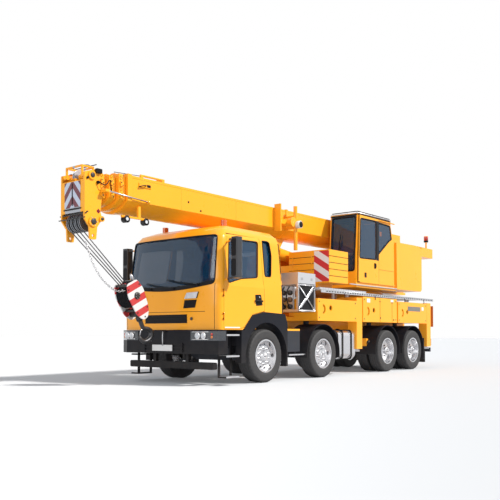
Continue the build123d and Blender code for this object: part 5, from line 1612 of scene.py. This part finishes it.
def dressRear():
    piece = Piece("rear_fittings", "chassis")
    for sign in (1, -1):
        y0, y1 = sorted((sign * 0.78, sign * 1.16))
        brick(piece, (-7.300, y0 - 0.02, 0.600), (-7.286, y1 + 0.02, 0.780), trimBlack, 0.004)
        for index, finish in enumerate((redLens, amberLens, redLens, clearLens)):
            place = (-7.300, sign * (0.84 + index * 0.09), 0.690)
            disc(piece, place, "x", ((0, 0.038), (-0.008, 0.036), (-0.014, 0.015)), finish, 24)
        low, high = sorted((sign * 0.92, sign * 1.245))
        slab(piece, oblong(low, high, 1.10, 1.66), "x", -7.298, -7.292, rearPlate, 0.001)
        for z in (1.22, 1.52):
            pairBox(piece, (-7.293, -7.120), sign, (1.00, 1.03), (z, z + 0.04), darkSteel, 0.002)
        pairBox(piece, (-6.856, -6.846), sign, (0.66, 1.21), (0.16, 0.44), trimBlack, 0.002)
    slab(piece, roundedLoop(oblong(-0.26, 0.26, 0.86, 0.98), 0.008), "x", -7.300, -7.292, whiteMark, 0.001)
    piece.finished()


def dressWinch():
    # one layer of rope, a long helix between the flanges, and the beacon's cap
    piece = Piece("winch_rope", "superstructure")
    turns, pitch, reach = 34, 0.0195, 0.162
    angle = np.linspace(0, 2 * pi * turns, turns * 16)
    y = -0.325 + angle / (2 * pi) * pitch
    path = np.column_stack([-6.960 + reach * np.cos(angle), y, 2.500 + reach * np.sin(angle)])
    tube(piece, path, 0.0094, ropeSteel, 5)
    piece.finished()
    lens = Piece("beacon_cap", "superstructure")
    dome = ((0, 0.058), (0.105, 0.057), (0.122, 0.045), (0.128, 0.01))
    disc(lens, (-7.192, 1.100, 3.440), "z", dome, redLens, 28)
    disc(lens, (-7.192, 1.100, 3.400), "z", ((0, 0.060), (0.040, 0.060)), trimBlack, 28)
    lens.finished()


dressBoxes()
dressDeck()
dressTank()
dressStowage()
dressValves()
dressHolder()
dressRear()
dressWinch()
print("stage: sides and rear")


# Floor, sky and lamps

def paleGround():
    # a plain grey floor that takes the shadow
    finish = Finish("floor")
    diffuse = finish.make("ShaderNodeBsdfDiffuse", None, Color=(0.61, 0.62, 0.64), Roughness=0.5)
    finish.make("ShaderNodeOutputMaterial", None, Surface=diffuse)
    return finish.material


def layFloor():
    reach = 120.0
    mesh = bpy.data.meshes.new("floor")
    mesh.from_pydata([(*corner, 0) for corner in oblong(-reach, reach, -reach, reach)], [], [(0, 1, 2, 3)])
    mesh.materials.append(paleGround())
    floor = bpy.data.objects.new("floor", mesh)
    bpy.context.scene.collection.objects.link(floor)


def hangSky():
    # white where it is seen, mirrored or looked through, and a weaker blue white as light
    world = bpy.data.worlds.new("studio")
    bpy.context.scene.world = world
    world.use_nodes = True
    tree = world.node_tree
    tree.nodes.clear()
    path = tree.nodes.new("ShaderNodeLightPath")
    seen, clear = tree.nodes.new("ShaderNodeMath"), tree.nodes.new("ShaderNodeMath")
    seen.operation = clear.operation = "MAXIMUM"
    plain, white = tree.nodes.new("ShaderNodeBackground"), tree.nodes.new("ShaderNodeBackground")
    plain.inputs["Color"].default_value = (0.90, 0.95, 1.0, 1)
    plain.inputs["Strength"].default_value = view["skyFill"]
    white.inputs["Color"].default_value = (1, 1, 1, 1)
    mix, out = tree.nodes.new("ShaderNodeMixShader"), tree.nodes.new("ShaderNodeOutputWorld")
    links = (
        (path.outputs["Is Camera Ray"], seen.inputs[0]),
        (path.outputs["Is Transmission Ray"], seen.inputs[1]),
        (seen.outputs[0], clear.inputs[0]), (path.outputs["Is Glossy Ray"], clear.inputs[1]),
        (clear.outputs[0], mix.inputs[0]), (plain.outputs[0], mix.inputs[1]),
        (white.outputs[0], mix.inputs[2]), (mix.outputs[0], out.inputs[0]),
    )
    for start, stop in links:
        tree.links.new(start, stop)


def addSun(name, power, softness, turn, colour=(1.0, 1.0, 1.0), shadow=True):
    lamp = bpy.data.objects.new(name, bpy.data.lights.new(name, "SUN"))
    bpy.context.scene.collection.objects.link(lamp)
    lamp.data.energy, lamp.data.angle, lamp.data.color = power, radians(softness), colour
    lamp.data.use_shadow = shadow
    lamp.rotation_euler = tuple(radians(part) for part in turn)


layFloor()
hangSky()
addSun("sun", view["sunPower"], view["sunSoftness"], view["sunTurn"], view["sunColour"])
# a weak lamp before the machine lifts its shaded front
addSun("front lift", view["frontLift"], 30, view["liftTurn"], shadow=False)
print("stage: floor and lamps")
